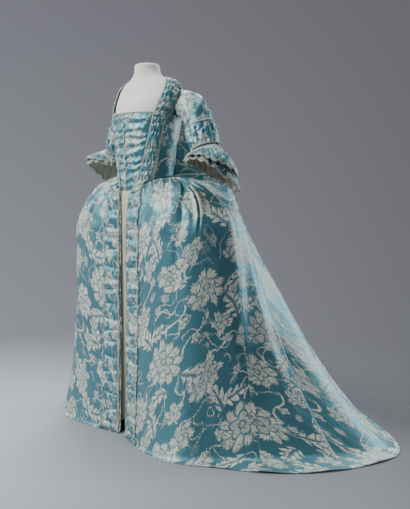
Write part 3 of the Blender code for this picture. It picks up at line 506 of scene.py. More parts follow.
@dataclass(frozen=True)
class Brocade:
    """The flowered weave: motifs in a repeat whose neighbours stand half a repeat higher."""

    across: float = 0.29
    high: float = 0.60
    blooms: tuple[Bloom, ...] = (
        Bloom(0.000, 0.000, 0.076, 11.0, 0.22, 0.14),
        Bloom(0.150, 0.175, 0.063, 9.0, 0.24, 0.16, 20.0),
        Bloom(0.018, 0.285, 0.051, 6.0, 0.30, 0.20),
        Bloom(0.092, 0.328, 0.045, 6.0, 0.30, 0.20, 40.0),
        Bloom(0.146, 0.458, 0.047, 7.0, 0.26, 0.18),
        Bloom(-0.118, 0.206, 0.043, 5.0, 0.55, 0.10),
        Bloom(0.205, 0.060, 0.042, 5.0, 0.55, 0.10, 30.0),
        Bloom(0.055, 0.425, 0.037, 5.0, 0.50, 0.12, 10.0),
        Bloom(0.072, 0.112, 0.020, 4.0, 0.45, 0.26),
        Bloom(-0.066, 0.300, 0.018, 4.0, 0.45, 0.26, 30.0),
        Bloom(0.222, 0.285, 0.019, 4.0, 0.45, 0.26, 45.0),
        Bloom(-0.045, 0.452, 0.018, 4.0, 0.45, 0.26, 10.0),
        Bloom(0.118, 0.030, 0.016, 4.0, 0.45, 0.26),
        Bloom(-0.030, 0.185, 0.016, 4.0, 0.45, 0.26, 20.0),
    )
    sprays: tuple[Spray, ...] = (
        Spray("leaf", -0.062, 0.066, 130.0, 0.125),
        Spray("leaf", 0.070, -0.056, -28.0, 0.130),
        Spray("leaf", 0.088, 0.232, 152.0, 0.115),
        Spray("leaf", -0.028, 0.345, 112.0, 0.115),
        Spray("leaf", 0.195, 0.402, 10.0, 0.110),
        Spray("leaf", 0.030, 0.500, 205.0, 0.115),
        Spray("stem", 0.010, 0.075, 60.0, 0.120),
        Spray("stem", 0.150, 0.100, 236.0, 0.120),
        Spray("stem", 0.108, 0.250, 118.0, 0.110),
        Spray("stem", 0.080, 0.385, 95.0, 0.100),
        Spray("stem", -0.045, 0.140, 30.0, 0.100),
        Spray("stem", 0.175, 0.520, 70.0, 0.110),
    )

    @property
    def lift(self) -> float:
        """How much the repeat rises for each metre across."""
        return self.high / 2.0 / self.across

    def own(self, sheared: bpy.types.NodeSocket, spot: Bloom | Spray) -> list[Field]:
        """Coordinates of a motif in its nearest place in the repeat.

        The sheared cloth point less the sheared place is wrapped into one repeat; two dot
        products take the shear back, turn it by the motif's angle and divide it by its size.
        """
        tree = sheared.id_data
        place = (spot.x, spot.y - self.lift * spot.x, 0.0)
        away = node_in(tree, "VectorMath", {0: sheared, 1: place}, operation="SUBTRACT")
        corner = (self.across / 2.0, self.high / 2.0, 1.0)
        inputs = {0: away.outputs[0], 1: corner, 2: [-value for value in corner]}
        wrap = node_in(tree, "VectorMath", inputs, operation="WRAP")
        c, s = math.cos(math.radians(spot.turn)), math.sin(math.radians(spot.turn))
        found = []
        for row in ((c + s * self.lift, s, 0.0), (c * self.lift - s, c, 0.0)):
            inputs = {0: wrap.outputs[0], 1: [value / spot.size for value in row]}
            dot = node_in(tree, "VectorMath", inputs, operation="DOT_PRODUCT")
            found.append(Field(dot.outputs["Value"]))
        return found

    def bloom(self, sheared: bpy.types.NodeSocket) -> tuple[Field, Field]:
        """Mask and lines of the flowers, drawn once for the nearest of them.

        Its outline is a circle less the cuts between its petals, the absolute sine of half
        the petals' turns, and less a fine saw of teeth.  Dark lines lie between the
        petals, round a second ring of petals and round the heart.
        """
        x, y = self.own(sheared, self.blooms[0])
        best = x.math("MULTIPLY_ADD", x, y * y)
        cut: object = self.blooms[0].cut
        for spot in self.blooms[1:]:
            next_x, next_y = self.own(sheared, spot)
            far = next_x.math("MULTIPLY_ADD", next_x, next_y * next_y)
            nearer = far.math("LESS_THAN", best)
            x, y = blended(nearer, x, next_x), blended(nearer, y, next_y)
            chosen = {0: nearer, 4: cut, 5: spot.cut}
            cut = node_in(sheared.id_data, "Mix", chosen, data_type="VECTOR").outputs[1]
            best = best.least(far)
        petals, deep, heart = split(cut)
        radius = best.math("SQRT")
        angle = y.math("ARCTAN2", x)
        swirl = radius.math("MULTIPLY_ADD", 0.3, angle)
        lobe = (swirl * petals * 0.5).math("SINE").size()
        saw = (swirl * petals * 2.5).math("SINE").size()
        outline = saw.math("MULTIPLY_ADD", 0.20, 0.84) - lobe.away(1.0) * deep
        mask = (outline - radius).step(14.0, 0.5)
        heart_lobe = angle.sine(2.5, 0.7).size()
        beyond = radius - heart_lobe.math("MULTIPLY_ADD", 0.24, 0.32)
        between = lobe.step(-3.4, 1.35) * beyond.step(9.0)
        strokes = saw.step(-3.0, 1.3) * (radius - lobe * 0.12).step(7.0, -3.2)
        within = heart_lobe.step(-4.0, 1.15) * (radius - heart).step(8.0, -0.3)
        within = within * beyond.step(-9.0)
        ring = beyond.size().step(-15.0, 1.2).most((radius - heart).size().step(-12.0, 1.0))
        depth = beyond.step(-6.0, 0.2) * 0.22
        return mask, between.most(strokes).most(within).most(ring).most(depth)

    def leaf(self, x: Field, y: Field) -> tuple[Field, Field]:
        """Mask and lines of a long serrated leaf from its base at 0 to its tip at x = 1.

        Its half width is a parabola of the length, cut by teeth; its spine bows, and a
        dark midrib and slanting veins lie on it.
        """
        hump = (x * -1.0).math("MULTIPLY_ADD", x, x)
        side = hump.math("MULTIPLY_ADD", 0.30, y).size()
        tooth = side.math("MULTIPLY_ADD", -0.80, x).sine(15.0, 0.4).size()
        half = hump * tooth.math("MULTIPLY_ADD", 0.80, 0.24)
        mask = (half - side).step(24.0, 0.3)
        return mask, side.step(-24.0, 1.35).most(tooth.step(-2.8, 1.15))

    def stem(self, x: Field, y: Field) -> Field:
        """Mask of a curling stem of unit length: a line along a sine."""
        hump = (x * -1.0).math("MULTIPLY_ADD", x, x)
        off = x.sine(5.4, 0.3).math("MULTIPLY_ADD", -0.17, y).size()
        return off.step(-38.0, 1.5) * hump.step(30.0)

    def vines(self, cloth: bpy.types.NodeSocket) -> Field:
        """Curling stalks and buds that fill the ground between the motifs.

        A stalk follows a level line of a smooth noise, broken by a slower noise, and a
        bud is a small ring round a scattered point.
        """
        broad, fine, slow = (noise(cloth, scale, 0.0) for scale in (8.5, 21.0, 5.0))
        level = (broad + fine * 0.22).math("SUBTRACT", 0.61).size()
        stalk = level.step(-150.0, 1.9) * slow.step(14.0, -6.8)
        twig = (fine + broad * 0.35).math("SUBTRACT", 0.68).size()
        stalk = stalk.most(twig.step(-85.0, 1.8) * broad.step(14.0, -7.0))
        spots = node_in(cloth.id_data, "TexVoronoi", {"Vector": cloth, "Scale": 17.0})
        far = Field(spots.outputs["Distance"])
        bud = far.step(-9.0, 2.6) * (far - 0.12).size().step(18.0, -0.1).most(0.25)
        shown = node_in(cloth.id_data, "SeparateColor", {0: spots.outputs["Color"]})
        return stalk.most(bud * Field(shown.outputs[0]).step(12.0, -4.8))

    def group(self) -> bpy.types.NodeTree:
        """The whole weave: the largest mask of its motifs, and the lines drawn in them."""
        made = Group("Brocade", ("Motif", "Line"))
        tree = made.tree
        warp = node_in(tree, "TexNoise", {"Vector": made.cloth, "Scale": 14.0, "Detail": 2.0})
        inputs = {0: warp.outputs["Color"], 1: (0.020, 0.020, 0.0), 2: made.cloth}
        bent = node_in(tree, "VectorMath", inputs, operation="MULTIPLY_ADD").outputs[0]
        x, y, _ = split(bent)
        inputs = {0: x, 1: x.math("MULTIPLY_ADD", -self.lift, y)}
        sheared = node_in(tree, "CombineXYZ", inputs).outputs[0]
        mask, line = self.bloom(sheared)
        line = line * mask
        for spot in self.sprays:
            at, off = self.own(sheared, spot)
            if spot.kind == "leaf":
                one, drawn = self.leaf(at, off)
                line = line.most(drawn.least(one - mask * 2.0))
            else:
                one = self.stem(at, off)
            mask = mask.most(one)
        vine = self.vines(bent)
        motif = (mask - line * 0.9).most(vine - mask * 3.0)
        fed(made.end, {"Motif": motif, "Line": line.most(mask.step(-1.0, 1.0) * vine * 0.4)})
        return tree


def weave_group() -> bpy.types.NodeTree:
    """Group for the threads: ribs across the cloth and fine warp streaks, heights and shade.

    Height is the sine of v in ribs times the sine of u in threads, plus Shade, which is
    noise drawn out along the warp.
    """
    made = Group("Weave", ("Height", "Shade"), numbers=("Ribs",))
    u, v, _ = split(made.cloth)
    turn = Field(made.start.outputs["Ribs"]) * WHOLE_TURN
    rib = (v * turn).math("SINE")
    thread = (u * turn).math("SINE")
    streak = node_in(made.tree, "Mapping", {"Vector": made.cloth, "Scale": (420.0, 9.0, 1.0)})
    shade = noise(streak.outputs[0], 1.0, 2.0)
    fed(made.end, {"Height": rib * thread * 0.5 + shade, "Shade": shade})
    return made.tree


def crease_group() -> bpy.types.NodeTree:
    """Group for the small unevenness of handled silk: two sizes of noise, as a height."""
    made = Group("Creases", ("Height",))
    sizes = ((14.0, 0.70), (45.0, 0.30))
    broad, fine = (noise(made.cloth, scale, 2.0, 0.6) * share for scale, share in sizes)
    fed(made.end, {"Height": broad + fine})
    return made.tree


class Dye:
    """The shared groups, built once."""

    def __init__(self) -> None:
        """Build the groups that the finishes place."""
        self.brocade = Brocade().group()
        self.weave = weave_group()
        self.creases = crease_group()


@dataclass(frozen=True)
class Silk:
    """Satin silk with the flowered weave: a glossy ground and a duller, raised motif.

    bare is how much of the motif is lost in patches; scale and shift lay the repeat.
    """

    name: str
    scale: float = 1.0
    shift: tuple[float, float] = (0.0, 0.0)
    bare: float = 0.0
    ground: Colour = (0.066, 0.208, 0.252)
    ground_light: Colour = (0.108, 0.318, 0.378)
    motif: Colour = (0.790, 0.790, 0.660)
    motif_shade: Colour = (0.330, 0.385, 0.345)
    ground_rough: float = 0.38
    motif_rough: float = 0.55
    ground_metal: float = 0.62
    motif_metal: float = 0.10
    ribs: float = 620.0

    def make(self, dye: Dye) -> bpy.types.Material:
        """Build the material.

        Args:
            dye: The shared node groups.

        Returns:
            The material, reading the Cloth UV map.
        """
        made, shader = blank(self.name)
        tree = made.node_tree
        cloth = node_in(tree, "UVMap", {}, uv_map="Cloth").outputs[0]
        inputs = {"Location": (*self.shift, 0.0), "Scale": (self.scale, -self.scale, 1.0)}
        laid = node_in(tree, "Mapping", {"Vector": cloth, **inputs}).outputs[0]
        flowers = node_in(tree, "Group", {"Cloth": laid}, node_tree=dye.brocade)
        weave = node_in(tree, "Group", {"Cloth": cloth, "Ribs": self.ribs}, node_tree=dye.weave)
        creases = node_in(tree, "Group", {"Cloth": cloth}, node_tree=dye.creases)
        shade = Field(weave.outputs["Shade"])
        motif = Field(flowers.outputs["Motif"])
        if self.bare > 0.0:
            kept = 0.5 - 9.0 * (0.35 + 0.25 * self.bare)
            motif = motif * noise(cloth, 22.0, 1.0).step(9.0, kept)
        motif = motif * noise(cloth, 120.0, 1.0).step(5.0, -1.45)
        ground = mixed(shade, self.ground, self.ground_light)
        line = (Field(flowers.outputs["Line"]) * 0.85).least(1.0)
        colour = mixed(motif, ground, mixed(line, self.motif, self.motif_shade))
        rough = motif.math("MULTIPLY_ADD", self.motif_rough - self.ground_rough, self.ground_rough)
        metal = motif.math("MULTIPLY_ADD", self.motif_metal - self.ground_metal, self.ground_metal)
        height = Field(weave.outputs["Height"]) * 0.10 + Field(creases.outputs["Height"]) * 11.0
        fed(shader, {
            "Base Color": colour,
            "Roughness": rough + shade * 0.10,
            "Metallic": metal,
            "Normal": bumped(height, 0.55, 0.0007),
            "Sheen Weight": 0.06,
            "Sheen Roughness": 0.45,
        })
        return made


@dataclass(frozen=True)
class Plain:
    """Plain woven cloth or thread: one colour that the weave and handling vary a little."""

    name: str
    colour: Colour
    worn: Colour
    rough: float
    ribs: float
    bump: float
    sheen: float
    mottle: float
    metallic: float = 0.0

    def make(self, dye: Dye) -> bpy.types.Material:
        """Build the material from Object coordinates and the shared groups."""
        made, shader = blank(self.name)
        tree = made.node_tree
        place = node_in(tree, "TexCoord", {}).outputs["Object"]
        weave = node_in(tree, "Group", {"Cloth": place, "Ribs": self.ribs}, node_tree=dye.weave)
        cloud = noise(place, self.mottle, 3.0)
        fed(shader, {
            "Base Color": mixed(cloud.step(2.2, -0.6), self.colour, self.worn),
            "Roughness": cloud.math("MULTIPLY_ADD", 0.12, self.rough - 0.06),
            "Normal": bumped(Field(weave.outputs["Height"]) + cloud, self.bump, 0.0004),
            "Sheen Weight": self.sheen,
            "Metallic": self.metallic,
        })
        return made


FINISHES = {
    "skirt": Silk("teal_brocade", 0.93, (0.05, 0.10)),
    "band": Silk("gathered_brocade_skirt", 1.5, (0.10, 0.20), bare=0.15),
    "bodice": Silk("teal_brocade_bodice", 1.0, (0.11, 0.21)),
    "front": Silk("teal_brocade_front", 1.2, (0.02, 0.12), bare=0.40),
    "sleeve": Silk("teal_brocade_sleeve", 1.15, (-0.133, 0.058)),
    "ruched": Silk("gathered_brocade", 1.9, (0.17, 0.33), bare=0.10),
    "ruffle": Silk("teal_brocade_ruffle", 1.3, (0.09, 0.02), bare=0.15),
    # name, colour, worn colour, roughness, ribs, bump, sheen, mottle, metallic
    "button": Plain(
        "button_silk", (0.34, 0.43, 0.43), (0.76, 0.75, 0.66), 0.4, 700.0, 0.5, 0.2, 120.0),
    "gimp": Plain("gimp", (0.62, 0.61, 0.49), (0.33, 0.43, 0.41), 0.8, 900.0, 0.9, 0.3, 190.0),
    "ivory": Plain("ivory_silk", (0.70, 0.65, 0.49), (0.58, 0.52, 0.37), 0.5, 620.0, 0.5, 0.2, 9.0),
    "cover": Plain(
        "white_cover", (0.85, 0.84, 0.825), (0.81, 0.80, 0.775), 0.8, 420.0, 0.25, 0.1, 6.0),
    "metal": Plain(
        "stand_metal", (0.33, 0.33, 0.33), (0.25, 0.25, 0.25), 0.38, 60.0, 0.1, 0.0, 40.0, 0.8),
    "lining": Plain("lining", (0.52, 0.47, 0.37), (0.42, 0.38, 0.30), 0.85, 480.0, 0.4, 0.1, 20.0),
}


def all_finishes() -> Finishes:
    """Make every finish of the part once, on the same groups."""
    dye = Dye()
    return {label: finish.make(dye) for label, finish in FINISHES.items()}


# The body that the garment is cut to --------------------------------------------------
TORSO = (  # height, half width, reach in front, reach behind
    (0.930, 0.136, 0.107, 0.096),
    (1.008, 0.125, 0.102, 0.088),
    (1.100, 0.137, 0.107, 0.098),
    (1.200, 0.155, 0.113, 0.112),
    (1.255, 0.164, 0.112, 0.118),
    (1.300, 0.171, 0.094, 0.116),
    (1.335, 0.168, 0.073, 0.105),
    (1.352, 0.160, 0.066, 0.097),
    (1.375, 0.134, 0.059, 0.083),
    (1.392, 0.100, 0.055, 0.072),
)
FORM = (  # the same of the bare form, up to its neck
    (0.860, 0.110, 0.082, 0.075),
    (0.935, 0.1215, 0.0925, 0.0860),
    (0.963, 0.1235, 0.0965, 0.0872),
    (1.015, 0.117, 0.094, 0.081),
    (1.100, 0.130, 0.100, 0.091),
    (1.200, 0.148, 0.106, 0.105),
    (1.255, 0.157, 0.105, 0.111),
    (1.300, 0.164, 0.087, 0.109),
    (1.335, 0.161, 0.066, 0.098),
    (1.355, 0.150, 0.058, 0.089),
    (1.372, 0.126, 0.052, 0.076),
    (1.386, 0.095, 0.049, 0.064),
    (1.402, 0.067, 0.047, 0.053),
    (1.418, 0.054, 0.048, 0.050),
    (1.442, 0.0495, 0.0475, 0.0485),
)
WAIST_LINE = (  # angle from centre front and height of the waist seam
    (0.0, 0.958),
    (20.0, 0.964),
    (40.0, 0.984),
    (60.0, 0.998),
    (90.0, 1.008),
    (180.0, 1.008),
)
NECKLINE_Z = 1.253
UNDERARM_Z = 1.241
ARMHOLE = (119.0, 17.5, 1.288, 0.054)  # angle and height of its middle, each with its half span
NECK_SEAM_Z = 1.302
HIP_Z = 0.80


@dataclass(frozen=True)
class Body:
    """A body given by half ellipses, in front of the side and behind it."""

    rows: tuple[tuple[float, ...], ...]

    def point(self, degrees: Array, z: Array) -> Array:
        """Surface point at angles from centre front and heights."""
        degrees, z = np.broadcast_arrays(np.asarray(degrees, float), np.asarray(z, float))
        table = np.array(self.rows)
        sizes = smooth(table[:, 0], table[:, 1:], z)
        angle = np.radians(degrees)
        depth = np.where(np.cos(angle) > 0.0, sizes[..., 1], sizes[..., 2])
        return np.stack([sizes[..., 0] * np.sin(angle), -depth * np.cos(angle), z], axis=-1)


TORSO_BODY = Body(TORSO)


def waist_line(degrees: Array) -> Array:
    """Height of the waist seam, the same on both sides."""
    folded = np.abs((np.asarray(degrees, float) + 180.0) % 360.0 - 180.0)
    table = np.array(WAIST_LINE)
    return smooth(table[:, 0], table[:, 1:], folded)[..., 0]


@dataclass
class DressForm:
    """The white limbless form with its neck cap, on a pole and a round base."""

    finishes: Finishes
    cap_dome: float = 0.009
    cap_radius: float = 0.0474
    rolled: float = 0.0012

    def cover(self, name: str, points: Array, node: str) -> None:
        """Close a turned grid and let it stand for a node in the form's white cover."""
        made = surface(name, points, None, self.finishes["cover"], ring=True)
        stand_for(welded(made), node)

    def build(self) -> None:
        """Turn the body and its cap, and finish the stand's frame nodes."""
        top, foot = FORM[-1][0], FORM[0][0]
        around = np.arange(0.0, 360.0, 3.75)[None, :]
        body = Body(FORM).point(around, row_places(96, top, foot))
        edge = body[:1] * np.array([0.96, 0.96, 1.0])
        ends = [np.broadcast_to([0.0, 0.0, z], edge.shape) for z in (top, foot)]
        body[0] -= np.array([0.0, 0.0, self.rolled])
        self.cover("form_body", np.concatenate([ends[0], edge, body, ends[1]]), "dress_form")
        share = row_places(14) * math.pi / 2.0
        radius = self.cap_radius * np.sin(share)
        height = top + SEAM + self.cap_dome * np.cos(share) ** 1.2
        angle = np.radians(around)
        z = height + np.zeros_like(angle)
        dome = np.stack([radius * np.sin(angle), -radius * np.cos(angle), z], axis=-1)
        base = dome[-1:] * np.array([0.0, 0.0, 1.0])
        self.cover("neck_cap", np.concatenate([dome, base]), "form_cap")
        for node in ("form_pole", "form_base"):
            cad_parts[node].data.materials.clear()
            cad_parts[node].data.materials.append(self.finishes["metal"])
            LOG.info("%s: finished", node)


# Shared trims ------------------------------------------------------------------------
BRAID_LIFT = 0.0006
FRINGE_LIFT = 0.0003
BRAID_ARCH = (0.0, 35.0, 70.0, 110.0, 145.0, 180.0, 270.0)


@dataclass(frozen=True)
class Braid:
    """Fly fringe: a narrow looped braid that stands on a cloth edge."""

    width: float = 0.0072
    height: float = 0.0018
    step: float = 0.0019
    loop: float = 0.0065
    ragged: float = 1.05

    def lay(self, name: str, path: Array, out: Array, finish: bpy.types.Material, seed: int,
            ring: bool = False) -> bpy.types.Object:
        """Lay the braid along a path.

        Its section is a flat-bottomed arch.  Along the path each side swings out and in
        by a sine of the loop's length and by seeded chance, and the crown's height too,
        so that it reads as loops and cut tufts.

        Args:
            name: Name of the piece.
            path: Points along the edge.
            out: Unit normals of the cloth there.
            finish: The braid's finish.
            seed: Seed of its tufts.
            ring: Whether the path closes.

        Returns:
            The braid.
        """
        if ring:
            path = np.concatenate([path, path[:1]])
            out = np.concatenate([out, out[:1]])
        far = run_length(path[:, None], 0)[:, 0]
        count = max(int(far[-1] / self.step), 8)
        at = np.linspace(0.0, far[-1], count + 1)
        line = np.stack([np.interp(at, far, path[:, k]) for k in range(3)], axis=-1)
        up = np.stack([np.interp(at, far, out[:, k]) for k in range(3)], axis=-1)
        if ring:
            line, up, at = line[:-1], up[:-1], at[:-1]
            ahead = np.roll(line, -1, axis=0) - np.roll(line, 1, axis=0)
        else:
            ahead = np.gradient(line, axis=0)
        side = unit(np.cross(unit(ahead), up))
        chance = np.random.RandomState(seed)
        tuft = chance.uniform(-1.0, 1.0, (len(at), 3))
        turn = WHOLE_TURN * at / self.loop
        left = 1.0 + self.ragged * (0.6 * np.sin(turn) + 0.6 * tuft[:, 0])
        right = 1.0 + self.ragged * (0.6 * np.sin(turn + 2.3) + 0.6 * tuft[:, 1])
        crown = 1.0 + 0.30 * np.sin(turn * 2.0) + 0.35 * tuft[:, 2]
        angle = np.radians(np.array(BRAID_ARCH))[None, :]
        swing = np.where(np.cos(angle) > 0.0, left[:, None], right[:, None])
        across = np.cos(angle) * swing * self.width / 2.0
        rise = np.maximum(np.sin(angle), -0.15) * crown[:, None] * self.height
        points = line[:, None] + side[:, None] * across[..., None] + up[:, None] * rise[..., None]
        if ring:
            points = np.concatenate([points, points[:1]])
        else:
            start, end = (np.repeat(row.mean(axis=1, keepdims=True), row.shape[1], axis=1)
                          for row in (points[:1], points[-1:]))
            points = np.concatenate([start, points, end])
        made = welded(surface(name, points, None, finish, ring=True))
        return made

    def down(self, name: str, points: Array, share: float, finish: bpy.types.Material,
             seed: int) -> bpy.types.Object:
        """Lay the braid down a grid.

        Args:
            name: Name of the piece.
            points: The grid.
            share: Share of the way across its columns.
            finish: The braid's finish.
            seed: Seed of its tufts.

        Returns:
            The braid.
        """
        path, out = edge_of(points, share)
        return self.lay(name, path + out * BRAID_LIFT, out, finish, seed)


def edge_of(points: Array, share: float) -> tuple[Array, Array]:
    """Path and normals down a grid, at a share of the way across its columns."""
    place = share * (points.shape[1] - 1)
    return column_at(points, place), unit(column_at(facing(points), place))


def puffed(length: Array, across: Array, puffs: float, height: float, seed: int) -> Array:
    """Relief of a gathered strip.

    Along the strip it is the absolute sine of the puffs, rounded by a power; across it is
    a flat-topped arch.  Fine gathers fan out of each pinch: sines of the place across,
    strongest at the pinch, and crumples are an uneven swell over the whole.

    Args:
        length: Place along the strip from 0 to 1, one column.
        across: Place across it from 0 to 1, one row.
        puffs: How many puffs it has.
        height: Height of a puff.
        seed: Seed of its unevenness.

    Returns:
        The height of the cloth above its seat.
    """
    chance = np.random.RandomState(seed)
    knots = int(puffs) + 2
    size = np.interp(length * puffs, np.arange(knots), chance.uniform(0.62, 1.18, knots))
    lean = 0.34 * np.sin(2.1 * length * puffs + seed) * (across - 0.5)
    phase = math.pi * (length * puffs + 0.16 * np.sin(1.7 * length * puffs + seed) - lean)
    puff = np.abs(np.sin(phase)) ** 0.62
    arch = (1.0 - (2.0 * np.abs(across - 0.5)) ** 3.2) ** 0.8
    pinch = np.abs(np.cos(phase)) ** 2
    gather = np.sin(across * WHOLE_TURN * 4.5 + 1.6 * np.sin(length * puffs * 2.0 + seed))
    x, y = length * puffs * 0.05, across * 0.07  # metres of cloth, about
    crumple = ripple(x, y, seed + 3, 0.018, 0.050)
    crease = ripple(x, y, seed + 5, 0.030, 0.060)
    relief = puff * size * (1.0 + 0.24 * crumple + 0.22 * crease) + 0.26 * pinch * gather
    return height * relief * arch


# The bodice --------------------------------------------------------------------------
ROBING = (  # inner edge's angle and height, outer edge's angle and height
    (180.0, 1.345, 180.0, 1.304),
    (160.0, 1.350, 158.0, 1.306),
    (138.0, 1.362, 136.0, 1.330),
    (114.0, 1.378, 113.0, 1.356),
    (90.0, 1.384, 100.5, 1.358),
    (67.0, 1.352, 97.5, 1.340),
    (57.5, 1.302, 94.5, 1.298),
    (54.5, 1.262, 88.0, 1.262),
    (52.0, 1.225, 75.0, 1.222),
    (48.0, 1.170, 70.0, 1.170),
    (40.0, 1.080, 66.0, 1.082),
    (30.0, 1.010, 61.0, 1.020),
    (18.0, 0.966, 58.0, 1.000),
)


BUTTON_ARC = (90.0, 72.0, 52.0, 30.0, 10.0, -20.0, -60.0, -90.0)
COMPERE_COLUMNS = 34  # two more lie under the border strip


def robing_edges(at: Array) -> Array:
    """Angles and heights of the border strip's two edges at places along it."""
    return smooth(np.arange(len(ROBING)), np.array(ROBING), at)


def robing_at(z: Array, inner: bool) -> Array:
    """Angle of the strip's inner edge or its middle, at a height on the front."""
    table = np.array(ROBING[4:][::-1])
    angle = table[:, 0] if inner else (table[:, 0] + table[:, 2]) / 2.0
    return smooth(table[:, 1], angle[:, None], z)[..., 0]


@dataclass
class Bodice:
    """False fronts, robe bodice, shoulders, border strips and the buttons."""

    finishes: Finishes
    folds: int = 9
    fold_depth: float = 0.0088
    puffs: int = 16
    puff: float = 0.0082
    buttons: int = 9
    button_radius: float = 0.0058
    button_height: float = 0.0048
    top_button: float = 1.235
    button_gap: float = 0.030
    lift: float = 0.0028

    def compere(self) -> Array:
        """Left false front.

        Its folds are swags: each rises slowly from its upper crease, hangs over its own
        lower edge and droops toward the centre front, with uneven depths.
        """
        down = row_places(124)
        height = NECKLINE_Z + (waist_line(30.0) - NECKLINE_Z) * down
        edge = robing_at(height, True) - 0.8
        share = column_places(COMPERE_COLUMNS)
        degrees = 0.25 + (edge - 0.25) * share
        under = edge + (robing_at(height, False) - 0.3 - edge) * np.array([[0.5, 1.0]])
        degrees = np.concatenate([degrees, under], axis=1)
        bottom = waist_line(degrees) + SEAM
        z = NECKLINE_Z + (bottom - NECKLINE_Z) * down
        base = TORSO_BODY.point(degrees, z)
        across = np.concatenate([share, [[1.02, 1.04]]], axis=1)
        phase = down * self.folds - 0.42 * across * (1.0 - down)
        uneven = 0.10 * np.sin(across * 7.0 + phase * 2.0)
        phase = phase + 0.14 * np.sin(phase * 1.9 + 1.0) + uneven
        part = phase - np.floor(phase)
        hang = part**1.45
        fold = (0.5 - 0.5 * np.cos(WHOLE_TURN * hang)) ** 0.70
        deep = 0.80 + 0.20 * np.sin(np.floor(phase) * 2.3 + 0.5)
        swell = np.sin(math.pi * np.clip(across, 0.0, 1.0) ** 0.85) ** 0.45
        swell = swell * (0.3 + 0.7 * ease(across, 0.02, 0.16))
        ends = ease(down, 0.0, 0.04) * (1.0 - ease(down, 0.93, 1.0))
        crumple = ripple(across * 0.12, down * 0.30, 41, 0.014, 0.050) * 0.0026
        return raised(base, (self.fold_depth * fold * deep + crumple) * swell * ends)

    def side_front(self) -> Array:
        """Left robe bodice from under its border strip to the side back seam, softly creased."""
        down, across = row_places(42), column_places(50)
        inner = robing_at(NECKLINE_Z + (1.0 - NECKLINE_Z) * down, False) + 0.3
        degrees = inner + (139.7 - inner) * across
        top = NECKLINE_Z - SEAM - (NECKLINE_Z - UNDERARM_Z) * ease(degrees, 96.0, 106.0)
        top = top + 0.060 * ease(degrees, 131.0, 139.0)
        bottom = waist_line(degrees) + SEAM
        base = TORSO_BODY.point(degrees, top + (bottom - top) * down)
        pull = ripple(across * 0.22, down * 0.25, 17, 0.05, 0.16) * 0.0012
        inside = ease(down, 0.0, 0.1) * (1.0 - ease(down, 0.9, 1.0))
        return raised(base, pull * inside)

    def back(self) -> Array:
        """Plain fitted back under the sack."""
        degrees, down = column_places(40, 140.3, 219.7), row_places(40)
        top = UNDERARM_Z + 0.060 - SEAM
        z = top + (waist_line(degrees) + SEAM - top) * down
        return TORSO_BODY.point(degrees, z)

    def shoulder(self) -> Array:
        """Robe front over the left shoulder, its outer edge run on under the sleeve's head."""
        at, across = row_places(64, 2.05, 7.2), column_places(20)
        edges = robing_edges(at)
        inner = edges[..., 0] + 1.5
        level = (edges[..., 3] - ARMHOLE[2]) / ARMHOLE[3]
        hidden = ARMHOLE[0] - ARMHOLE[1] * np.sqrt(np.clip(1.0 - level**2, 0.0, 1.0)) + 1.5
        beside = np.maximum(hidden - edges[..., 2], 0.0) * ease(at, 4.2, 5.2)
        degrees = inner + (edges[..., 2] + beside - inner) * across
        z = edges[..., 1] - 0.001 + (edges[..., 3] - edges[..., 1]) * across
        return TORSO_BODY.point(degrees, np.maximum(z, NECKLINE_Z + SEAM))

    def strip(self, start: float, end: float, puffs: int, seed: int, rows: int) -> Array:
        """Gathered strip along the border.

        Args:
            start: Where it starts, as a place in the border's table.
            end: Where it ends there.
            puffs: How many puffs it has.
            seed: Seed of its unevenness.
            rows: How many rows its grid has.

        Returns:
            The strip's grid.
        """
        at, across = row_places(rows, start, end), column_places(23)
        edges = robing_edges(at)
        degrees = edges[..., 0] + (edges[..., 2] - edges[..., 0]) * across
        z = edges[..., 1] + (edges[..., 3] - edges[..., 1]) * across
        base = TORSO_BODY.point(degrees, z)
        relief = puffed(row_places(rows), across, puffs, self.puff, seed)
        return raised(base, self.lift + relief)

    def sewn(self, side: Side, braid: Braid) -> None:
        """Build the pieces of one side.

        Args:
            side: The wearer's side.
            braid: The braid that edges the strip.
        """
        made = self.finishes
        name = side.value
        for label, points, finish in (("bodice", self.side_front(), made["bodice"]),
                                      ("shoulder", self.shoulder(), made["bodice"])):
            piece = surface(f"{label}_cloth_{name}", side.turn(points), None, finish, wall=WALL)
            sheet_for(piece, f"{label}_{name}")
        strip = side.turn(self.strip(2.006, 12.0, self.puffs, 5 + len(name), 270))
        piece = surface("robing_cloth_" + name, strip, None, made["ruched"], wall=WALL)
        braids = [braid.down(f"robing_braid_{which}_{name}", strip, share, made["gimp"], seed)
                  for which, share, seed in (("inner", 0.02, 21), ("outer", 0.98, 22))]
        sheet_for(piece, "robing_" + name)
        front = side.turn(self.compere())
        piece = surface("compere_cloth_" + name, front, None, made["front"], wall=WALL)
        out = facing(front)
        edge, first = (0, 0) if side is Side.LEFT else (-1, 2)
        narrow = Braid(width=0.0055, height=0.0022, loop=0.0075)
        path, up = front[:, edge], out[:, edge]
        down = narrow.lay("front_braid_" + name, path + up * 0.0004, up, made["gimp"], 23)
        shown = slice(first, first + COMPERE_COLUMNS)
        top, up = front[0, shown], out[2, shown]
        over = narrow.lay("neckline_braid_" + name, top + up * 0.0005, up, made["gimp"], 24)
        sheet_for(piece, "compere_" + name)

    def neck(self, braid: Braid) -> None:
        """Build the puffed trim round the back of the neck, and its braids."""
        half = self.strip(0.0, 1.994, 5, 31, 84)
        other = Side.RIGHT.turn(half)[::-1]
        points = np.concatenate([other[:-1], half])
        piece = surface("neck_trim_cloth", points, None, self.finishes["ruched"], wall=WALL)
        braids = [braid.down(f"neck_braid_{which}", points, share, self.finishes["gimp"], seed)
                  for which, share, seed in ((1, 0.02, 25), (2, 0.98, 26))]
        sheet_for(piece, "neck_trim")

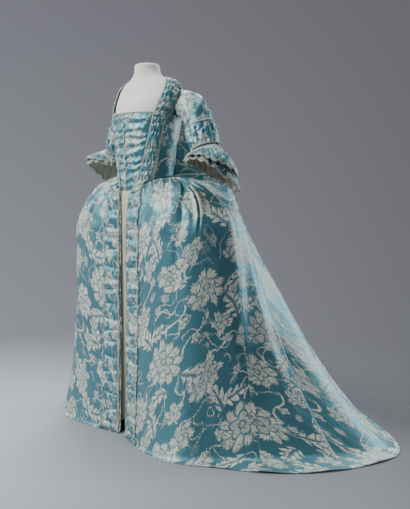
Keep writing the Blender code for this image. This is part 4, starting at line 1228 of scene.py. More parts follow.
    def button(self, index: int) -> None:
        """Cover one button: a dome with a turned edge, its radius and height from quarter turns."""
        z = self.top_button - index * self.button_gap
        face = TORSO_BODY.point(0.0, z)
        turn = np.radians(np.arange(0.0, 360.0, 15.0))[None, :]
        rise = np.radians(np.array(BUTTON_ARC))[:, None]
        radius = self.button_radius * np.cos(rise) ** 0.8
        out = self.button_height * (0.55 + np.where(rise > 0.0, 0.45, 0.12) * np.sin(rise))
        lobes = 1.0 + 0.05 * np.cos(turn * 8.0) * np.cos(rise)
        x = radius * lobes * np.cos(turn)
        y = face[1] - self.lift - out + np.zeros_like(turn)
        points = np.stack([x, y, z - radius * lobes * np.sin(turn)], axis=-1)
        name = f"compere_button_{index + 1:02d}"
        made = welded(surface(name + "_dome", points, None, self.finishes["button"], ring=True))
        stand_for(made, name)

    def build(self) -> None:
        """Build the whole bodice."""
        braid = Braid()
        for side in Side:
            self.sewn(side, braid)
        piece = surface("bodice_back_cloth", self.back(), None, self.finishes["bodice"], wall=WALL)
        sheet_for(piece, "bodice_back")
        self.neck(braid)
        for index in range(self.buttons):
            self.button(index)


# The sleeves -------------------------------------------------------------------------
SLEEVE = (  # centre, upper and side radius, lean of the axis below level
    (0.190, 0.052, 1.283, 0.052, 0.052, 38.0),
    (0.224, 0.056, 1.252, 0.054, 0.053, 56.0),
    (0.249, 0.058, 1.207, 0.052, 0.051, 66.0),
    (0.270, 0.057, 1.156, 0.049, 0.049, 67.0),
    (0.291, 0.056, 1.106, 0.048, 0.048, 67.0),
)
ELBOW = len(SLEEVE) - 1.0
RUFFLE = (  # heading of its hang, length and flare of the lower ruffle there
    (-180.0, 0.038, 0.010),
    (-130.0, 0.038, 0.018),
    (-90.0, 0.038, 0.040),
    (-60.0, 0.042, 0.066),
    (-30.0, 0.080, 0.074),
    (0.0, 0.128, 0.066),
    (35.0, 0.172, 0.056),
    (70.0, 0.152, 0.050),
    (120.0, 0.088, 0.034),
    (180.0, 0.038, 0.010),
)
RUFFLE_LONGEST = 0.172
FLOUNCES = {  # share of the lower ruffle's length, distance of the seam from the sleeve, seed
    "flounce_upper": (0.67, 0.0057, 3),
    "flounce_lower": (1.0, 0.0023, 8),
}


@dataclass
class Sleeves:
    """Elbow sleeves, each with a ruched band and two ruffles."""

    finishes: Finishes
    puffs: int = 12
    puff: float = 0.0078
    waves: int = 8
    wave: float = 0.0125
    gathers: int = 30
    start: float = 3.93
    head: float = 0.004
    seat: float = 0.0019

    def ring(self, at: Array, turn: Array, out: Array) -> Array:
        """Rings of the sleeve.

        Args:
            at: Places in the sleeve's table.
            turn: Angles from the top, toward the back.
            out: Height above the sleeve.

        Returns:
            The points.
        """
        row = smooth(np.arange(len(SLEEVE)), np.array(SLEEVE), np.asarray(at, float))
        lean = np.radians(row[..., 5])
        up = np.stack([np.sin(lean), np.zeros_like(lean), np.cos(lean)], axis=-1)
        angle = np.radians(turn)
        rise = (row[..., 3] + out) * np.cos(angle)
        behind = (row[..., 4] + out) * np.sin(angle)
        return row[..., :3] + rise[..., None] * up + behind[..., None] * np.array([0.0, 1.0, 0.0])

    def sleeve(self) -> Array:
        """Left sleeve: from the armhole ellipse on the body to the elbow, with soft drag lines."""
        turn = np.arange(0.0, 360.0, 3.6)[None, :]
        angle = np.radians(turn)
        degrees = ARMHOLE[0] + ARMHOLE[1] * np.sin(angle)
        z = ARMHOLE[2] + ARMHOLE[3] * np.cos(angle)
        seat = TORSO_BODY.point(degrees, z)
        seat = seat + unit(seat * FLAT) * self.seat
        first = self.ring(np.zeros((1, 1)), turn, self.head)
        share = np.linspace(0.0, 1.0, 12)[:-1, None, None]
        head = seat + (first - seat) * (share**0.85)
        at = row_places(48, 0.0, ELBOW)
        tube = self.ring(at, turn, self.head * (1.0 - at / ELBOW))
        points = np.concatenate([head, tube])
        rows = row_places(len(points))
        x, y = 0.05 * np.sin(angle), 0.05 * np.cos(angle)
        drag = ripple(rows * 0.25 + x, y, 52, 0.028, 0.08)
        keep = ease(rows, 0.06, 0.2) * (1.0 - ease(rows, 0.50, 0.56))
        return raised(points, 0.0032 * drag * keep, ring=True)

    def band(self) -> Array:
        """Ruched band: puffs round the arm, pinched along the sleeve, with crumpled gathers."""
        turn = np.arange(0.0, 360.0, 1.8)[None, :]
        share = row_places(26)
        at = 2.10 + (3.84 - 2.10) * share
        around = turn / 360.0
        relief = puffed_round(around, share, self.puffs, self.puff)
        return self.ring(at, turn, self.head * (1.0 - at / ELBOW) + 0.0028 + relief)

    def flounce(self, part: float, out: float, seed: int) -> Array:
        """Left ruffle: hangs from a ring round the sleeve, longest at the outer back.

        Its length and flare follow the heading of its hang.  The hem swings in deep
        waves; fine gathers start at the seam and merge into them, and the hem is cut in
        uneven scallops.

        Args:
            part: Its share of the lower ruffle's length.
            out: Distance of its seam from the sleeve.
            seed: Seed of its unevenness.

        Returns:
            The ruffle's grid.
        """
        turn = np.arange(0.0, 360.0, 1.5)[None, :]
        angle = np.radians(turn)
        sleeve = smooth(np.arange(len(SLEEVE)), np.array(SLEEVE), np.array([self.start]))
        top = self.ring(np.full((1, 1), self.start), turn, out)
        away = unit((top - sleeve[0, :3]) * FLAT)
        table = np.array(RUFFLE)
        heading = np.degrees(np.arctan2(away[..., 1], away[..., 0]))
        sizes = smooth(table[:, 0], table[:, 1:], heading)
        scallop = np.abs(np.sin(angle * self.waves * 1.5 + 0.3 * seed + 0.5 * np.sin(3.0 * angle)))
        uneven = ripple(0.1 * np.cos(angle), 0.1 * np.sin(angle), seed, 0.03, 0.09)
        long = sizes[..., 0] / RUFFLE_LONGEST
        cut = (0.012 * scallop - 0.007 + 0.006 * uneven) * (0.4 + 0.6 * long)
        length = sizes[..., 0] * part + cut
        v = row_places(31)
        drop = length * v
        far = drop / RUFFLE_LONGEST
        wave = self.wave * far**0.8 * np.sin(self.waves * angle + 0.5 * np.sin(2.0 * angle + 3.0))
        gathered = np.sin(0.5 * self.gathers * angle + np.sin(5.0 * angle + 3.0))
        fine = 1.0 - 1.7 * np.abs(gathered) ** 0.7
        begun = np.sin(math.pi / 2.0 * np.clip(v * 2.2, 0.0, 1.0))
        wave = wave + 0.0060 * fine * begun * (1.0 - 0.35 * v)
        wave = wave + 0.0034 * np.sin(self.gathers * 0.55 * angle + seed + 3.0 * v) * v
        flare = sizes[..., 1] * (1.0 - (1.0 - v) ** 1.7)
        lean = np.array([0.06, 0.06, 0.0])
        points = top + away * (flare + wave)[..., None] + lean * (drop * long)[..., None]
        points[..., 2] = top[..., 2] - drop
        return points

    def build(self) -> None:
        """Build both sleeves."""
        made = self.finishes
        braid = Braid(width=0.0055, height=0.0016)
        fringe = Braid(width=0.0085, height=0.0022, ragged=0.9)
        for side in Side:
            name = side.value
            grids = {
                "sleeve": (self.sleeve(), made["sleeve"], "teal_brocade"),
                "sleeve_band": (self.band(), made["ruched"], "gathered_brocade"),
            }
            for label, flounce in FLOUNCES.items():
                grids[label] = self.flounce(*flounce), made["ruffle"], "teal_brocade"
            for label, (points, finish, slot) in grids.items():
                grid = side.turn(points)
                inside = None if label == "sleeve_band" else made["lining"]
                piece = surface(f"{label}_cloth_{name}", grid, None, finish, True, WALL, inside)
                out = facing(grid, ring=True)
                if label == "sleeve_band":
                    for row, which, seed in ((1, "upper", 62), (-2, "lower", 59)):
                        path = grid[row] + out[row] * BRAID_LIFT
                        title = f"sleeve_braid_{which}_{name}"
                        edging = braid.lay(title, path, out[row], made["gimp"], seed, True)
                if label in FLOUNCES:
                    path, up = grid[-2] + out[-2] * FRINGE_LIFT, out[-2]
                    title = f"{label}_fringe_{name}"
                    fringe.lay(title, path, up, made["gimp"], 67, True)
                sheet_for(piece, f"{label}_{name}")


def puffed_round(around: Array, share: Array, puffs: int, height: float) -> Array:
    """Relief of a gathered ring: puffs round it, an arch along it, pinches and crumples."""
    phase = math.pi * (around * puffs + 0.07 * np.sin(share * 9.0 + around * 31.4))
    turn = around * WHOLE_TURN
    puff = np.abs(np.sin(phase)) ** 0.6 * (1.0 + 0.25 * np.sin(turn * 3.0 + 1.0))
    arch = np.sin(math.pi * share) ** 0.45
    pinch = np.abs(np.cos(phase)) ** 3
    gather = np.sin(share * WHOLE_TURN * 6.0 + 1.5 * np.sin(turn * 4.0))
    x, y = 0.05 * np.cos(turn), 0.05 * np.sin(turn) + share * 0.09
    crumple = ripple(x, y, 77, 0.014, 0.045)
    return height * arch * (0.85 * puff + 0.30 * pinch * gather * 0.5 + 0.30 * crumple)


# The skirts --------------------------------------------------------------------------
SKIRT = (  # waist angle, hip x and y, hem x and y, run on the floor, kick of the spread
    (17.0, 0.009, -0.113, 0.008, -0.135, 0.015, 0.60),
    (42.0, 0.112, -0.124, 0.160, -0.186, 0.015, 0.60),
    (62.0, 0.240, -0.128, 0.290, -0.208, 0.015, 0.60),
    (76.0, 0.355, -0.088, 0.425, -0.192, 0.020, 0.55),
    (88.0, 0.414, -0.008, 0.565, -0.108, 0.060, 0.45),
    (100.0, 0.424, 0.076, 0.704, -0.020, 0.110, 0.35),
    (114.0, 0.388, 0.155, 0.812, 0.112, 0.140, 0.25),
    (136.0, 0.322, 0.218, 0.872, 0.290, 0.120, 0.20),
    (150.0, 0.255, 0.300, 0.862, 0.490, 0.060, 0.20),
    (165.0, 0.145, 0.378, 0.695, 0.660, 0.050, 0.20),
    (180.0, 0.000, 0.420, 0.375, 0.845, 0.050, 0.20),
    (195.0, -0.140, 0.385, 0.090, 1.000, 0.080, 0.25),
    (210.0, -0.250, 0.320, -0.170, 1.055, 0.120, 0.30),
    (224.0, -0.335, 0.225, -0.380, 0.930, 0.150, 0.35),
    (246.0, -0.405, 0.158, -0.530, 0.680, 0.120, 0.50),
    (260.0, -0.450, 0.080, -0.600, 0.330, 0.060, 0.80),
    (272.0, -0.450, -0.005, -0.580, 0.060, 0.030, 0.85),
    (284.0, -0.395, -0.082, -0.485, -0.122, 0.015, 0.80),
    (298.0, -0.255, -0.126, -0.300, -0.160, 0.015, 0.70),
    (318.0, -0.135, -0.124, -0.145, -0.156, 0.015, 0.60),
    (343.0, -0.027, -0.112, -0.018, -0.138, 0.015, 0.60),
)
SACK_WAIST = (  # station, then the place where the hanging pleats pass the waist
    (8.0, 0.160, 0.270, 0.985),
    (9.0, 0.093, 0.310, 0.980),
    (10.0, 0.000, 0.322, 0.980),
    (11.0, -0.093, 0.310, 0.980),
    (12.0, -0.160, 0.270, 0.985),
)
SACK_NECK = (  # station and x of the neck's seam
    (7.0, 0.100),
    (8.0, 0.098),
    (9.0, 0.055),
    (10.0, 0.0),
    (11.0, -0.055),
    (12.0, -0.098),
    (13.0, -0.100),
)
SACK_PLEATS = ((8.55, 0.12), (9.5, 0.07), (10.0, 0.05), (10.5, 0.07), (11.45, 0.12))
SACK_MIDDLES = (7.5, 8.65, 10.0, 11.35, 12.5)  # where its widths hang plumb
SACK_CUTS = (8.0, 9.3, 10.7, 12.0)  # the stations between its widths
LAST = 20.0
SIDE_SEAM = 5.2
SACK_SEAM = 7.0
SACK_END = LAST - SACK_SEAM
FAR_SEAM = LAST - SIDE_SEAM
WIDTHS = (  # part and side, first and last station, anchor, columns
    ("front", "left", 0.0, SIDE_SEAM, 2.8, 215),
    ("side", "left", SIDE_SEAM, SACK_SEAM, 6.1, 48),
    ("side", "right", SACK_END, FAR_SEAM, 13.9, 48),
    ("front", "right", FAR_SEAM, LAST, 17.2, 165),
)
WIDTH_GAP = 0.0025  # in stations, at a seam
RING_STEP = 80  # columns of the measured ring for each station
FLOOR_ROWS = 0.86  # share of the lower rows that hang; the others lie on the floor
FLOOR_START = 0.02  # share of the hip's height at which the cloth begins to lie down


@dataclass(frozen=True)
class Fold:
    """A soft trough or ridge down the skirt: station and half width there, depth, and reach.

    The fold runs from one station at its start to another at its end, both as a share
    of the drop from the waist to the hem.  lap is the share of its width that it keeps
    on its near side, so a pleat that laps over has a sharp side and a soft one.
    """

    station: float
    width: float
    depth: float
    start: float
    end: float
    drift: float = 0.0
    lap: float = 1.0

    def relief(self, station: Array, drop: Array) -> Array:
        """Height of the fold: a bell across it, eased in and out along it."""
        part = np.clip((drop - self.start) / max(self.end - self.start, 1e-6), 0.0, 1.0)
        middle = self.station + self.drift * part
        wide = np.where(station < middle, self.width * self.lap, self.width)
        across = np.exp(-(((station - middle) / wide) ** 2) * 2.0)
        tail = min(0.22, (self.end - self.start) * 0.6)
        along = ease(drop, self.start - 0.02, self.start + 0.05)
        return self.depth * across * along * (1.0 - ease(drop, self.end - tail, self.end + 0.02))


FOLDS = (
    Fold(2.45, 0.075, -0.017, 0.03, 0.38, -1.30, 0.6),
    Fold(2.53, 0.300, 0.010, 0.03, 0.40, -1.30, 0.15),
    Fold(3.25, 0.36, 0.012, 0.04, 0.60, -1.50, 0.7),
    Fold(3.95, 0.070, -0.017, 0.05, 0.40, -1.45, 0.6),
    Fold(3.87, 0.045, 0.010, 0.05, 0.44, -1.45, 7.0),
    Fold(4.35, 0.26, 0.009, 0.04, 0.46, -0.90),
    Fold(4.05, 0.060, -0.016, 0.07, 0.48, -0.70, 0.8),
    Fold(3.98, 0.040, 0.009, 0.07, 0.50, -0.70, 4.0),
    Fold(4.90, 0.50, 0.006, 0.10, 0.80),
    Fold(1.55, 0.13, 0.006, 0.06, 0.34, 0.30),
    Fold(3.00, 0.16, -0.006, 0.30, 0.74, -0.70),
    Fold(5.60, 0.45, -0.006, 0.04, 0.90),
    Fold(6.40, 0.45, 0.007, 0.12, 0.98),
    Fold(8.45, 0.24, -0.012, 0.10, 0.98),
    Fold(9.50, 0.26, -0.012, 0.05, 0.95),
    Fold(10.50, 0.26, -0.012, 0.05, 0.95),
    Fold(11.55, 0.24, -0.011, 0.10, 0.98),
    Fold(13.60, 0.45, 0.007, 0.12, 0.95),
    Fold(14.40, 0.45, -0.006, 0.04, 0.85),
    Fold(15.10, 0.50, 0.006, 0.10, 0.80),
    Fold(16.00, 0.18, -0.014, 0.02, 0.36),
    Fold(16.55, 0.34, 0.009, 0.03, 0.44),
    Fold(17.15, 0.20, -0.016, 0.02, 0.40),
    Fold(17.90, 0.40, 0.008, 0.04, 0.62),
    Fold(18.30, 0.16, -0.007, 0.26, 0.66, -0.30),
    Fold(17.30, 0.14, 0.006, 0.30, 0.70, 0.40),
    Fold(18.65, 0.20, -0.013, 0.02, 0.34),
)
CREASES = (  # the finer creases between them, each side's own
    Fold(1.10, 0.07, -0.006, 0.02, 0.20, 0.10),
    Fold(1.75, 0.09, -0.006, 0.02, 0.24, -0.08),
    Fold(2.85, 0.08, -0.006, 0.03, 0.24, -0.60),
    Fold(4.45, 0.10, -0.007, 0.02, 0.24, 0.20),
    Fold(4.75, 0.09, -0.008, 0.02, 0.22, 0.60, 0.6),
    Fold(5.00, 0.09, -0.007, 0.02, 0.20, 1.30, 0.6),
    Fold(15.35, 0.10, -0.005, 0.02, 0.18, -0.06),
    Fold(15.75, 0.10, -0.006, 0.02, 0.26, -0.10),
    Fold(16.30, 0.08, -0.006, 0.02, 0.20, 0.06),
    Fold(16.90, 0.08, -0.007, 0.02, 0.25, 0.09),
    Fold(17.50, 0.09, -0.006, 0.02, 0.20, -0.08),
    Fold(18.20, 0.08, -0.006, 0.02, 0.26, 0.08),
    Fold(18.90, 0.07, -0.005, 0.02, 0.18, -0.06),
)


@dataclass(frozen=True)
class SkirtForm:
    """The surface of the robe's skirt: stations round it, and a drop from the waist to the hem."""

    def seam(self, degrees: Array) -> Array:
        """Points of the waist seam on the bodice."""
        return TORSO_BODY.point(degrees, waist_line(degrees) - SEAM)

    def sack_waist(self, station: Array) -> Array:
        """Waist points of the hanging back between its two seams."""
        rows = [np.array(SACK_WAIST)]
        for at in (SACK_SEAM, SACK_END):
            seam = self.seam(np.array(SKIRT[int(at)][0]))
            rows.append(np.array([[at, *seam]]))
        table = np.concatenate(rows)
        table = table[np.argsort(table[:, 0])]
        return smooth(table[:, 0], table[:, 1:], station)

    def base(self, station: Array, down: Array) -> Array:
        """Surface without folds.

        From the waist to the hip (down 0 to 1) it goes out by a sine and falls by a power
        of the cosine, like cloth over a hoop, or straight where it hangs free behind.
        Below (1 to 2) it spreads to the hem, the kick share of the spread only near the
        floor, lies down softly and runs out along the floor.
        """
        station, down = np.broadcast_arrays(np.asarray(station, float), np.asarray(down, float))
        row = smooth(np.arange(len(SKIRT)), np.array(SKIRT), station)
        inside = ((station > SACK_SEAM) & (station < SACK_END))[..., None]
        waist = np.where(inside, self.sack_waist(station), self.seam(row[..., 0]))
        hip, hem, run, kick = row[..., 1:3], row[..., 3:5], row[..., 5], row[..., 6]
        wave = (0.5 + 0.5 * np.sin(station * 5.3)) * 0.005 * ease(run, 0.02, 0.10)
        lie = 0.0014 + 0.0016 * ease(run, 0.01, 0.03) + wave
        free = ease(np.minimum(station - SACK_SEAM, SACK_END - station), 0.0, 1.0)
        level = np.clip(down, 0.0, 1.0)
        out = np.sin(level * math.pi / 2.0)
        out = out + (level - out) * free
        high = np.cos(level * math.pi / 2.0) ** 1.25
        high = high + (1.0 - level - high) * free
        upper = waist[..., :2] + (hip - waist[..., :2]) * out[..., None]
        upper_z = HIP_Z + (waist[..., 2] - HIP_Z) * high
        below = np.clip(down - 1.0, 0.0, 1.0)
        spread = np.linalg.norm(hem - hip, axis=-1)
        stay = 1.0 - np.minimum(run / np.maximum(spread, 1e-6), 0.8)
        fallen = np.clip(below / FLOOR_ROWS, 0.0, 1.0) * (1.0 - FLOOR_START)
        reach = (1.0 - kick) * fallen + kick * fallen**4.5
        full = (1.0 - kick) * (1.0 - FLOOR_START) + kick * (1.0 - FLOOR_START) ** 4.5
        floor = np.clip((below - FLOOR_ROWS) / (1.0 - FLOOR_ROWS), 0.0, 1.0)
        share = stay * reach / full + (1.0 - stay) * floor
        lower = hip + (hem - hip) * share[..., None]
        settle = lie + (HIP_Z * FLOOR_START - lie) * (1.0 - floor) ** 2
        lower_z = np.where(below < FLOOR_ROWS, HIP_Z * (1.0 - fallen), settle)
        above = down <= 1.0
        plan = np.where(above[..., None], upper, lower)
        return np.concatenate([plan, np.where(above, upper_z, lower_z)[..., None]], axis=-1)

    def relief(self, station: Array, down: Array) -> Array:
        """Height of the folds, the creases and a slow swell, fading where the hem lies."""
        drop = down / 2.0
        total = sum(fold.relief(station, drop) for fold in FOLDS + CREASES)
        soft = ripple(station * 0.11, drop * 0.9, 91, 0.10, 0.34) * 0.0024
        fine = 0.0007 + 0.0017 * (1.0 - ease(drop, 0.20, 0.46)) + 0.0010 * ease(station, 5.5, 7.0)
        soft = soft + ripple(station * 0.11, drop * 0.9, 92, 0.035, 0.10) * fine
        keep = ease(drop, 0.01, 0.10) * (1.0 - ease(drop, 0.86, 0.96))
        gathers = np.sin(station * 38.0 + 1.5 * np.sin(station * 3.1)) * 0.0014
        at_waist = ease(drop, 0.0, 0.02) * (1.0 - ease(drop, 0.05, 0.12))
        sides = (1.0 - ease(station, SIDE_SEAM, 6.0)) + ease(station, 14.0, 14.8)
        lifts = ripple(station * 0.16, drop * 0.4, 93, 0.08, 0.20) * 0.0022
        edge = ease(drop, 0.90, 0.97) * ease(station, 4.0, 5.0) * (1.0 - ease(station, 15.0, 16.0))
        return total + soft * keep + gathers * at_waist * sides + np.maximum(lifts, 0.0) * edge

    def surface(self, station: Array, down: Array) -> Array:
        """The skirt with its relief, moved along its unfolded surface's normals."""
        station, down = np.broadcast_arrays(np.asarray(station, float), np.asarray(down, float))
        step = 0.02
        left = self.base(np.clip(station - step, 0.0, LAST), down)
        right = self.base(np.clip(station + step, 0.0, LAST), down)
        above = self.base(station, np.clip(down - step, 0.0, 2.0))
        below = self.base(station, np.clip(down + step, 0.0, 2.0))
        normal = unit(np.cross(below - above, right - left))
        return self.base(station, down) + normal * self.relief(station, down)[..., None]


@dataclass
class Skirt:
    """The robe's skirt in its widths, the hanging sack back and the two border strips."""

    finishes: Finishes
    form: SkirtForm = field(default_factory=SkirtForm)
    rows_over: int = 32
    rows_below: int = 74
    puffs: int = 20
    puff: float = 0.0112

    def downs(self) -> Array:
        """Places of the rows from the waist to the hem."""
        over = row_places(self.rows_over)[:-1]
        return np.concatenate([over, row_places(self.rows_below, 1.0, 2.0)])

    def __post_init__(self) -> None:
        """Measure the whole ring of the skirt once, for the cloth's coordinates."""
        down = self.downs()
        columns = int(LAST) * RING_STEP + 1
        ring = np.broadcast_to(column_places(columns, 0.0, LAST), (len(down), columns))
        self.plain = self.form.base(ring, down)
        points = self.form.surface(ring, down)
        ahead = np.gradient(self.plain, axis=1)
        self.ahead = ahead / np.linalg.norm(ahead, axis=-1, keepdims=True)
        step = np.diff(points, axis=0)
        square = step - (step * self.ahead[1:]).sum(axis=-1, keepdims=True) * self.ahead[1:]
        fallen = np.cumsum(np.linalg.norm(square, axis=-1), axis=0)
        self.fallen = np.concatenate([np.zeros((1, columns)), fallen])
        self.around = run_length(points, 1)

    def cloth_uv(self, places: Array, anchors: Array) -> Array:
        """Cloth coordinates of widths that hang on the straight grain.

        Below the hip u is the length along the row from the plumb line under the anchor,
        where the row meets the upright plane square to the hip there; at the waist it is
        the length round the hip.  v is the length down, measured square to the rows.

        Args:
            places: Stations of the columns.
            anchors: The anchor station of each column's width.

        Returns:
            The coordinates, rows by columns.
        """
        hip = self.rows_over - 1
        own = column_at(self.around, places * RING_STEP)
        v = column_at(self.fallen, places * RING_STEP)
        start = np.zeros_like(own)
        for anchor in np.unique(anchors):
            column = int(round(anchor * RING_STEP))
            way = self.ahead[hip, column]
            side = ((self.plain - self.plain[hip, column]) * way).sum(axis=-1)
            alike = (self.ahead * way).sum(axis=-1)
            nearest = np.argmin(np.abs(side) + 10.0 * (alike < 0.3), axis=1)[:, None]
            line = self.around - side / np.maximum(alike, 0.3)
            line = np.take_along_axis(line, nearest, axis=1)
            start = np.where(anchors[None, :] == anchor, line, start)
        level = (own - start)[hip]
        share = ease(self.downs(), 0.5, 1.0)
        return np.stack([level * (1.0 - share) + (own - start) * share, v], axis=-1)

    def cloth(self, name: str, node: str, points: Array, uv: Array) -> None:
        """Let a lined sheet of the robe's silk stand for a node."""
        made = self.finishes
        piece = surface(name, points, uv, made["skirt"], False, WALL, made["lining"])
        sheet_for(piece, node)

    def width(self, label: str, start: float, end: float, anchor: float, columns: int) -> None:
        """Build one width of cloth between two stations.

        Args:
            label: Part and side in its names, with a place left for "cloth_".
            start: Its first station.
            end: Its last station.
            anchor: Station of its plumb line.
            columns: How many columns its grid has.
        """
        first = start + (WIDTH_GAP if start > 0.0 else 0.0)
        last = end - (WIDTH_GAP if end < LAST else 0.0)
        station = column_places(columns, first, last)[0]
        points = self.form.surface(station, self.downs())
        uv = self.cloth_uv(station, np.full(columns, anchor))
        self.cloth(label.format("cloth_"), label.format(""), points, uv)

    def sack(self) -> None:
        """Build the pleated back: sewn flat at the neck, it hangs free into the train.

        Its upper part runs straight from the neck's seam to the waist of the hanging
        pleats, bowed out by a sine, with box pleats whose depth comes in with the drop.
        """
        places = column_places(220, SACK_SEAM + 0.003, SACK_END - 0.003)[0]
        down = self.downs()
        lower = self.form.surface(places, down)
        seats = np.array(SACK_NECK)
        neck_x = smooth(seats[:, 0], seats[:, 1:], places)[:, 0]
        half_width = TORSO_BODY.point(90.0, NECK_SEAM_Z)[0]
        degrees = 180.0 - np.degrees(np.arcsin(neck_x / half_width))
        top = TORSO_BODY.point(degrees, NECK_SEAM_Z - 0.0006) + np.array([0.0, 0.003, 0.0])
        hang = row_places(50)[:-1]
        upper = top[None] + (lower[0] - top)[None] * hang[..., None]
        upper[..., 1] += 0.010 * np.sin(math.pi * hang)
        for edge, angle in ((0, 140.6), (-1, 219.4)):
            line = TORSO_BODY.point(angle, upper[:, edge, 2])
            line = line + unit(line * FLAT) * 0.0030
            beside = np.abs(places - places[edge])[None, :, None]
            upper = upper + (line - upper[:, edge])[:, None] * (1.0 - ease(beside, 0.0, 0.55))
        pleat = sum(-0.0075 * np.exp(-(((places - at) / wide) ** 2) * 2.0)
                    for at, wide in SACK_PLEATS)
        above, below = ease(hang, 0.0, 0.1), 1.0 - ease(down, 0.0, 0.9)
        points = np.concatenate([raised(upper, pleat * above), raised(lower, pleat * below)])
        width = np.searchsorted(np.array(SACK_CUTS), places)
        lower_uv = self.cloth_uv(places, np.array(SACK_MIDDLES)[width])
        rise = run_length(points[: len(upper) + 1], 0)
        rise = (rise - rise[-1:])[:-1]
        upper_uv = np.stack([np.repeat(lower_uv[:1, :, 0], len(upper), axis=0), rise], axis=-1)
        offset = np.stack([0.43 * width, 0.17 * width], axis=-1)
        uv = np.concatenate([upper_uv, lower_uv]) + offset
        self.cloth("sack_back_cloth", "sack_back", points, uv)

    def strip(self, side: Side) -> Array:
        """Gathered strip down a front edge of the skirt."""
        length = row_places(430)
        top = 0.964
        down = np.interp(length, [0.0, (top - HIP_Z) / top, 1.0], [0.06, 1.0, 1.950])
        across = column_places(25)
        seed = 12 if side is Side.LEFT else 19
        inner = 0.07 + 0.040 * ripple(length * 1.6, np.array([[0.02]]), seed + 7, 0.018, 0.06)
        outer = 0.95 + 0.090 * ripple(length * 1.6, np.array([[0.05]]), seed + 8, 0.018, 0.06)
        station = inner + (outer - inner) * across
        if side is Side.RIGHT:
            station = (LAST - station)[:, ::-1]
        relief = puffed(length, across, self.puffs, self.puff, seed)
        lift = 0.0018 + 0.0010 * np.sin(math.pi * across)
        return raised(self.form.surface(station, down), lift + relief)

    def build(self) -> None:
        """Build the skirt and its borders."""
        for part, side, *places in WIDTHS:
            self.width(f"skirt_{part}_{{}}{side}", *places)
        self.sack()
        made = self.finishes
        braid = Braid()
        for side in Side:
            points = self.strip(side)
            name = side.value
            piece = surface("skirt_band_cloth_" + name, points, None, made["band"], wall=WALL)
            braids = [braid.down(f"band_braid_{which}_{name}", points, share, made["gimp"], seed)
                      for which, share, seed in (("first", 0.02, 71), ("second", 0.98, 72))]
            sheet_for(piece, "skirt_band_" + name)


PETTICOAT = (  # waist angle, rise above the waist seam, hip x and y, hem x and y
    (0.0, 0.008, 0.000, -0.103, 0.000, -0.095),
    (24.0, -0.012, 0.100, -0.108, 0.110, -0.108),
    (54.0, -0.040, 0.230, -0.102, 0.240, -0.108),
    (78.0, -0.050, 0.345, -0.062, 0.362, -0.078),
    (92.0, -0.050, 0.395, 0.020, 0.415, 0.030),
    (112.0, -0.045, 0.355, 0.120, 0.395, 0.195),
    (145.0, -0.045, 0.220, 0.205, 0.265, 0.350),
    (180.0, -0.045, 0.000, 0.240, 0.000, 0.420),
)


@dataclass
class Petticoat:
    """The plain silk skirt under the robe, with soft upright folds."""

    finishes: Finishes
    columns: int = 300
    hem_z: float = 0.045

    def build(self) -> None:
        """Build it as one closed ring over the hoop line, its folds deeper toward the hem."""
        half = np.array(PETTICOAT)
        other = half[::-1][1:] * np.array([-1.0, 1.0, -1.0, 1.0, -1.0, 1.0])
        other[:, 0] += 360.0
        table = np.concatenate([half, other])
        station = np.arange(self.columns) * (len(table) - 1.0) / self.columns
        row = smooth(np.arange(len(table)), table, station[None, :])
        down = np.concatenate([row_places(17)[:-1], row_places(34, 1.0, 2.0)])
        waist = TORSO_BODY.point(row[..., 0], waist_line(row[..., 0]) + row[..., 1])
        waist = waist - unit(waist * FLAT) * 0.0034
        over = np.clip(down, 0.0, 1.0) * math.pi / 2.0
        hip, hip_z = row[..., 2:4], HIP_Z - 0.010
        upper = waist[..., :2] + (hip - waist[..., :2]) * np.sin(over)[..., None]
        upper_z = hip_z + (waist[..., 2] - hip_z) * np.cos(over) ** 1.25
        below = np.clip(down - 1.0, 0.0, 1.0)
        lower = hip + (row[..., 4:6] - hip) * below[..., None]
        lower_z = hip_z + (self.hem_z - hip_z) * below
        above = down <= 1.0
        plan = np.where(above[..., None], upper, lower)
        base = np.concatenate([plan, np.where(above, upper_z, lower_z)[..., None]], axis=-1)
        turn = station[None, :] * WHOLE_TURN / (len(table) - 1.0)
        folds = np.sin(turn * 23.0 + 1.4 * np.sin(turn * 3.0)) * 0.0028
        folds = folds + np.sin(turn * 41.0) * 0.0009
        keep = ease(down, 0.1, 1.6)
        points = raised(base, folds * keep, ring=True)
        silk = self.finishes["ivory"]
        piece = surface("petticoat_cloth", points, None, silk, ring=True, wall=WALL)
        sheet_for(piece, "petticoat")


# The studio --------------------------------------------------------------------------
LAMPS = (  # name, place, target, size, power, colour
    ("key", (-0.7, -3.3, 3.2), (0.1, 0.1, 0.7), 1.6, 170.0, (1.0, 0.98, 0.95)),
    ("side", (0.9, 3.0, 1.5), (0.4, 0.3, 0.4), 2.0, 62.0, (0.93, 0.97, 1.0)),
    ("near", (-2.9, -1.7, 1.9), (-0.2, 0.0, 0.8), 1.8, 36.0, (0.96, 0.98, 1.0)),
    ("back", (-2.2, 2.0, 3.0), (0.5, 0.6, 0.1), 2.4, 150.0, (0.95, 0.97, 1.0)),
    ("top", (0.3, 0.4, 4.2), (0.1, 0.1, 0.7), 1.6, 40.0, (1.0, 1.0, 1.0)),
)


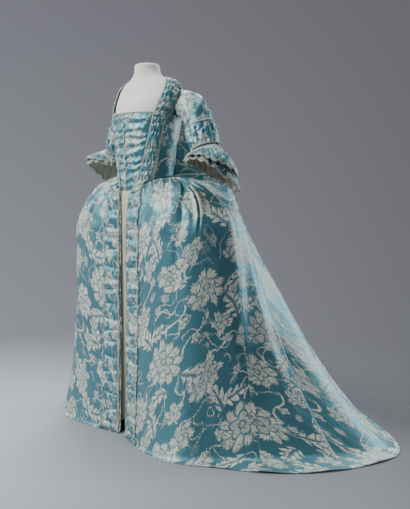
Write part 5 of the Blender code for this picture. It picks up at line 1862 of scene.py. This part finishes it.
@dataclass
class Studio:
    """Pale room, soft lights and the camera."""

    azimuth: float = 50.0
    distance: float = 3.5
    shift: float = 0.2253
    height: float = 1.0
    pitch: float = 4.84
    lens: float = 62.63
    floor_reach: float = 8.0

    def floor(self) -> None:
        """Pale floor with painted shade: darker to the right and behind, where the lamps' light
        falls off, and it fades out with distance.
        """
        mesh = bpy.data.meshes.new("floor")
        far = self.floor_reach
        corners = [(-far, -far, 0.0), (far, -far, 0.0), (far, far, 0.0), (-far, far, 0.0)]
        mesh.from_pydata(corners, [], [(0, 1, 2, 3)])
        made, shader = blank("floor_paper")
        x, y, _ = split(node_in(made.node_tree, "TexCoord", {}).outputs["Object"])
        look = math.radians(self.azimuth)
        across = x * (0.50 * math.cos(look) - 0.24 * math.sin(look))
        aside = (across + y * (0.50 * math.sin(look) + 0.24 * math.cos(look))).step(1.0, 0.45)
        # painted shade: the floor's colour is mixed toward a dark grey to the right and behind,
        # standing in for less light falling there
        shade = mixed(aside, (0.480, 0.510, 0.555), (0.075, 0.079, 0.090))
        fade = (x * x + y * y).math("SQRT").step(-0.60, 1.42)
        fed(shader, {"Base Color": shade, "Alpha": fade, "Roughness": 0.9})
        mesh.materials.append(made)
        floor = bpy.data.objects.new("floor", mesh)
        bpy.context.scene.collection.objects.link(floor)

    def room(self) -> None:
        """World of a plain grey room, darker above, by the height of the direction."""
        world = bpy.data.worlds.new("soft_room")
        world.use_nodes = True
        tree = world.node_tree
        x, y, z = split(node_in(tree, "TexCoord", {}).outputs["Generated"])
        look = math.radians(self.azimuth)
        aside = (x * math.cos(look) + y * math.sin(look)).step(2.0, 0.5)
        low = mixed(aside, (0.300, 0.310, 0.352), (0.168, 0.172, 0.190))
        high = mixed(aside, (0.205, 0.205, 0.240), (0.142, 0.143, 0.158))
        fed(tree.nodes["Background"], {"Color": mixed(z.step(2.8, 0.45), low, high)})
        bpy.context.scene.world = world

    def lamp(self, name: str, place: tuple[float, float, float], aim: tuple[float, float, float],
             size: float, power: float, colour: Colour) -> None:
        """Place one square area light that points at a target.

        Args:
            name: Name of the light.
            place: Where it stands.
            aim: Its target.
            size: Length of its side.
            power: Its power in watts.
            colour: Its colour.
        """
        light = bpy.data.lights.new(name, "AREA")
        light.shape = "SQUARE"
        light.size = size
        light.energy = power
        light.color = colour
        lamp = bpy.data.objects.new(name, light)
        lamp.location = place
        way = Vector(aim) - Vector(place)
        lamp.rotation_euler = way.to_track_quat("-Z", "Y").to_euler()
        lamp.visible_camera = False
        bpy.context.scene.collection.objects.link(lamp)

    def camera(self) -> None:
        """Stand the camera level with the waist and tilt it down a little."""
        look = math.radians(self.azimuth)
        side = Vector((math.cos(look), math.sin(look), 0.0))
        ahead = Vector((-math.sin(look), math.cos(look), 0.0))
        data = bpy.data.cameras.new("camera")
        data.sensor_fit = "VERTICAL"
        data.sensor_height = 36.0
        data.lens = self.lens
        eye = bpy.data.objects.new("camera", data)
        eye.location = side * self.shift - ahead * self.distance + Vector((0.0, 0.0, self.height))
        tilt = math.radians(self.pitch)
        way = ahead * math.cos(tilt) - Vector((0.0, 0.0, math.sin(tilt)))
        eye.rotation_euler = way.to_track_quat("-Z", "Y").to_euler()
        bpy.context.scene.collection.objects.link(eye)
        bpy.context.scene.camera = eye

    def build(self) -> None:
        """Set the stage, the lights, the world and the camera."""
        self.floor()
        self.camera()
        for lamp in LAMPS:
            self.lamp(*lamp)
        self.room()


def main() -> None:
    logging.basicConfig(level=logging.INFO, format="%(message)s")
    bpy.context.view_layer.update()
    finishes = all_finishes()
    DressForm(finishes).build()
    Petticoat(finishes).build()
    Skirt(finishes).build()
    Bodice(finishes).build()
    Sleeves(finishes).build()
    Studio().build()


if __name__ == "__main__":
    main()
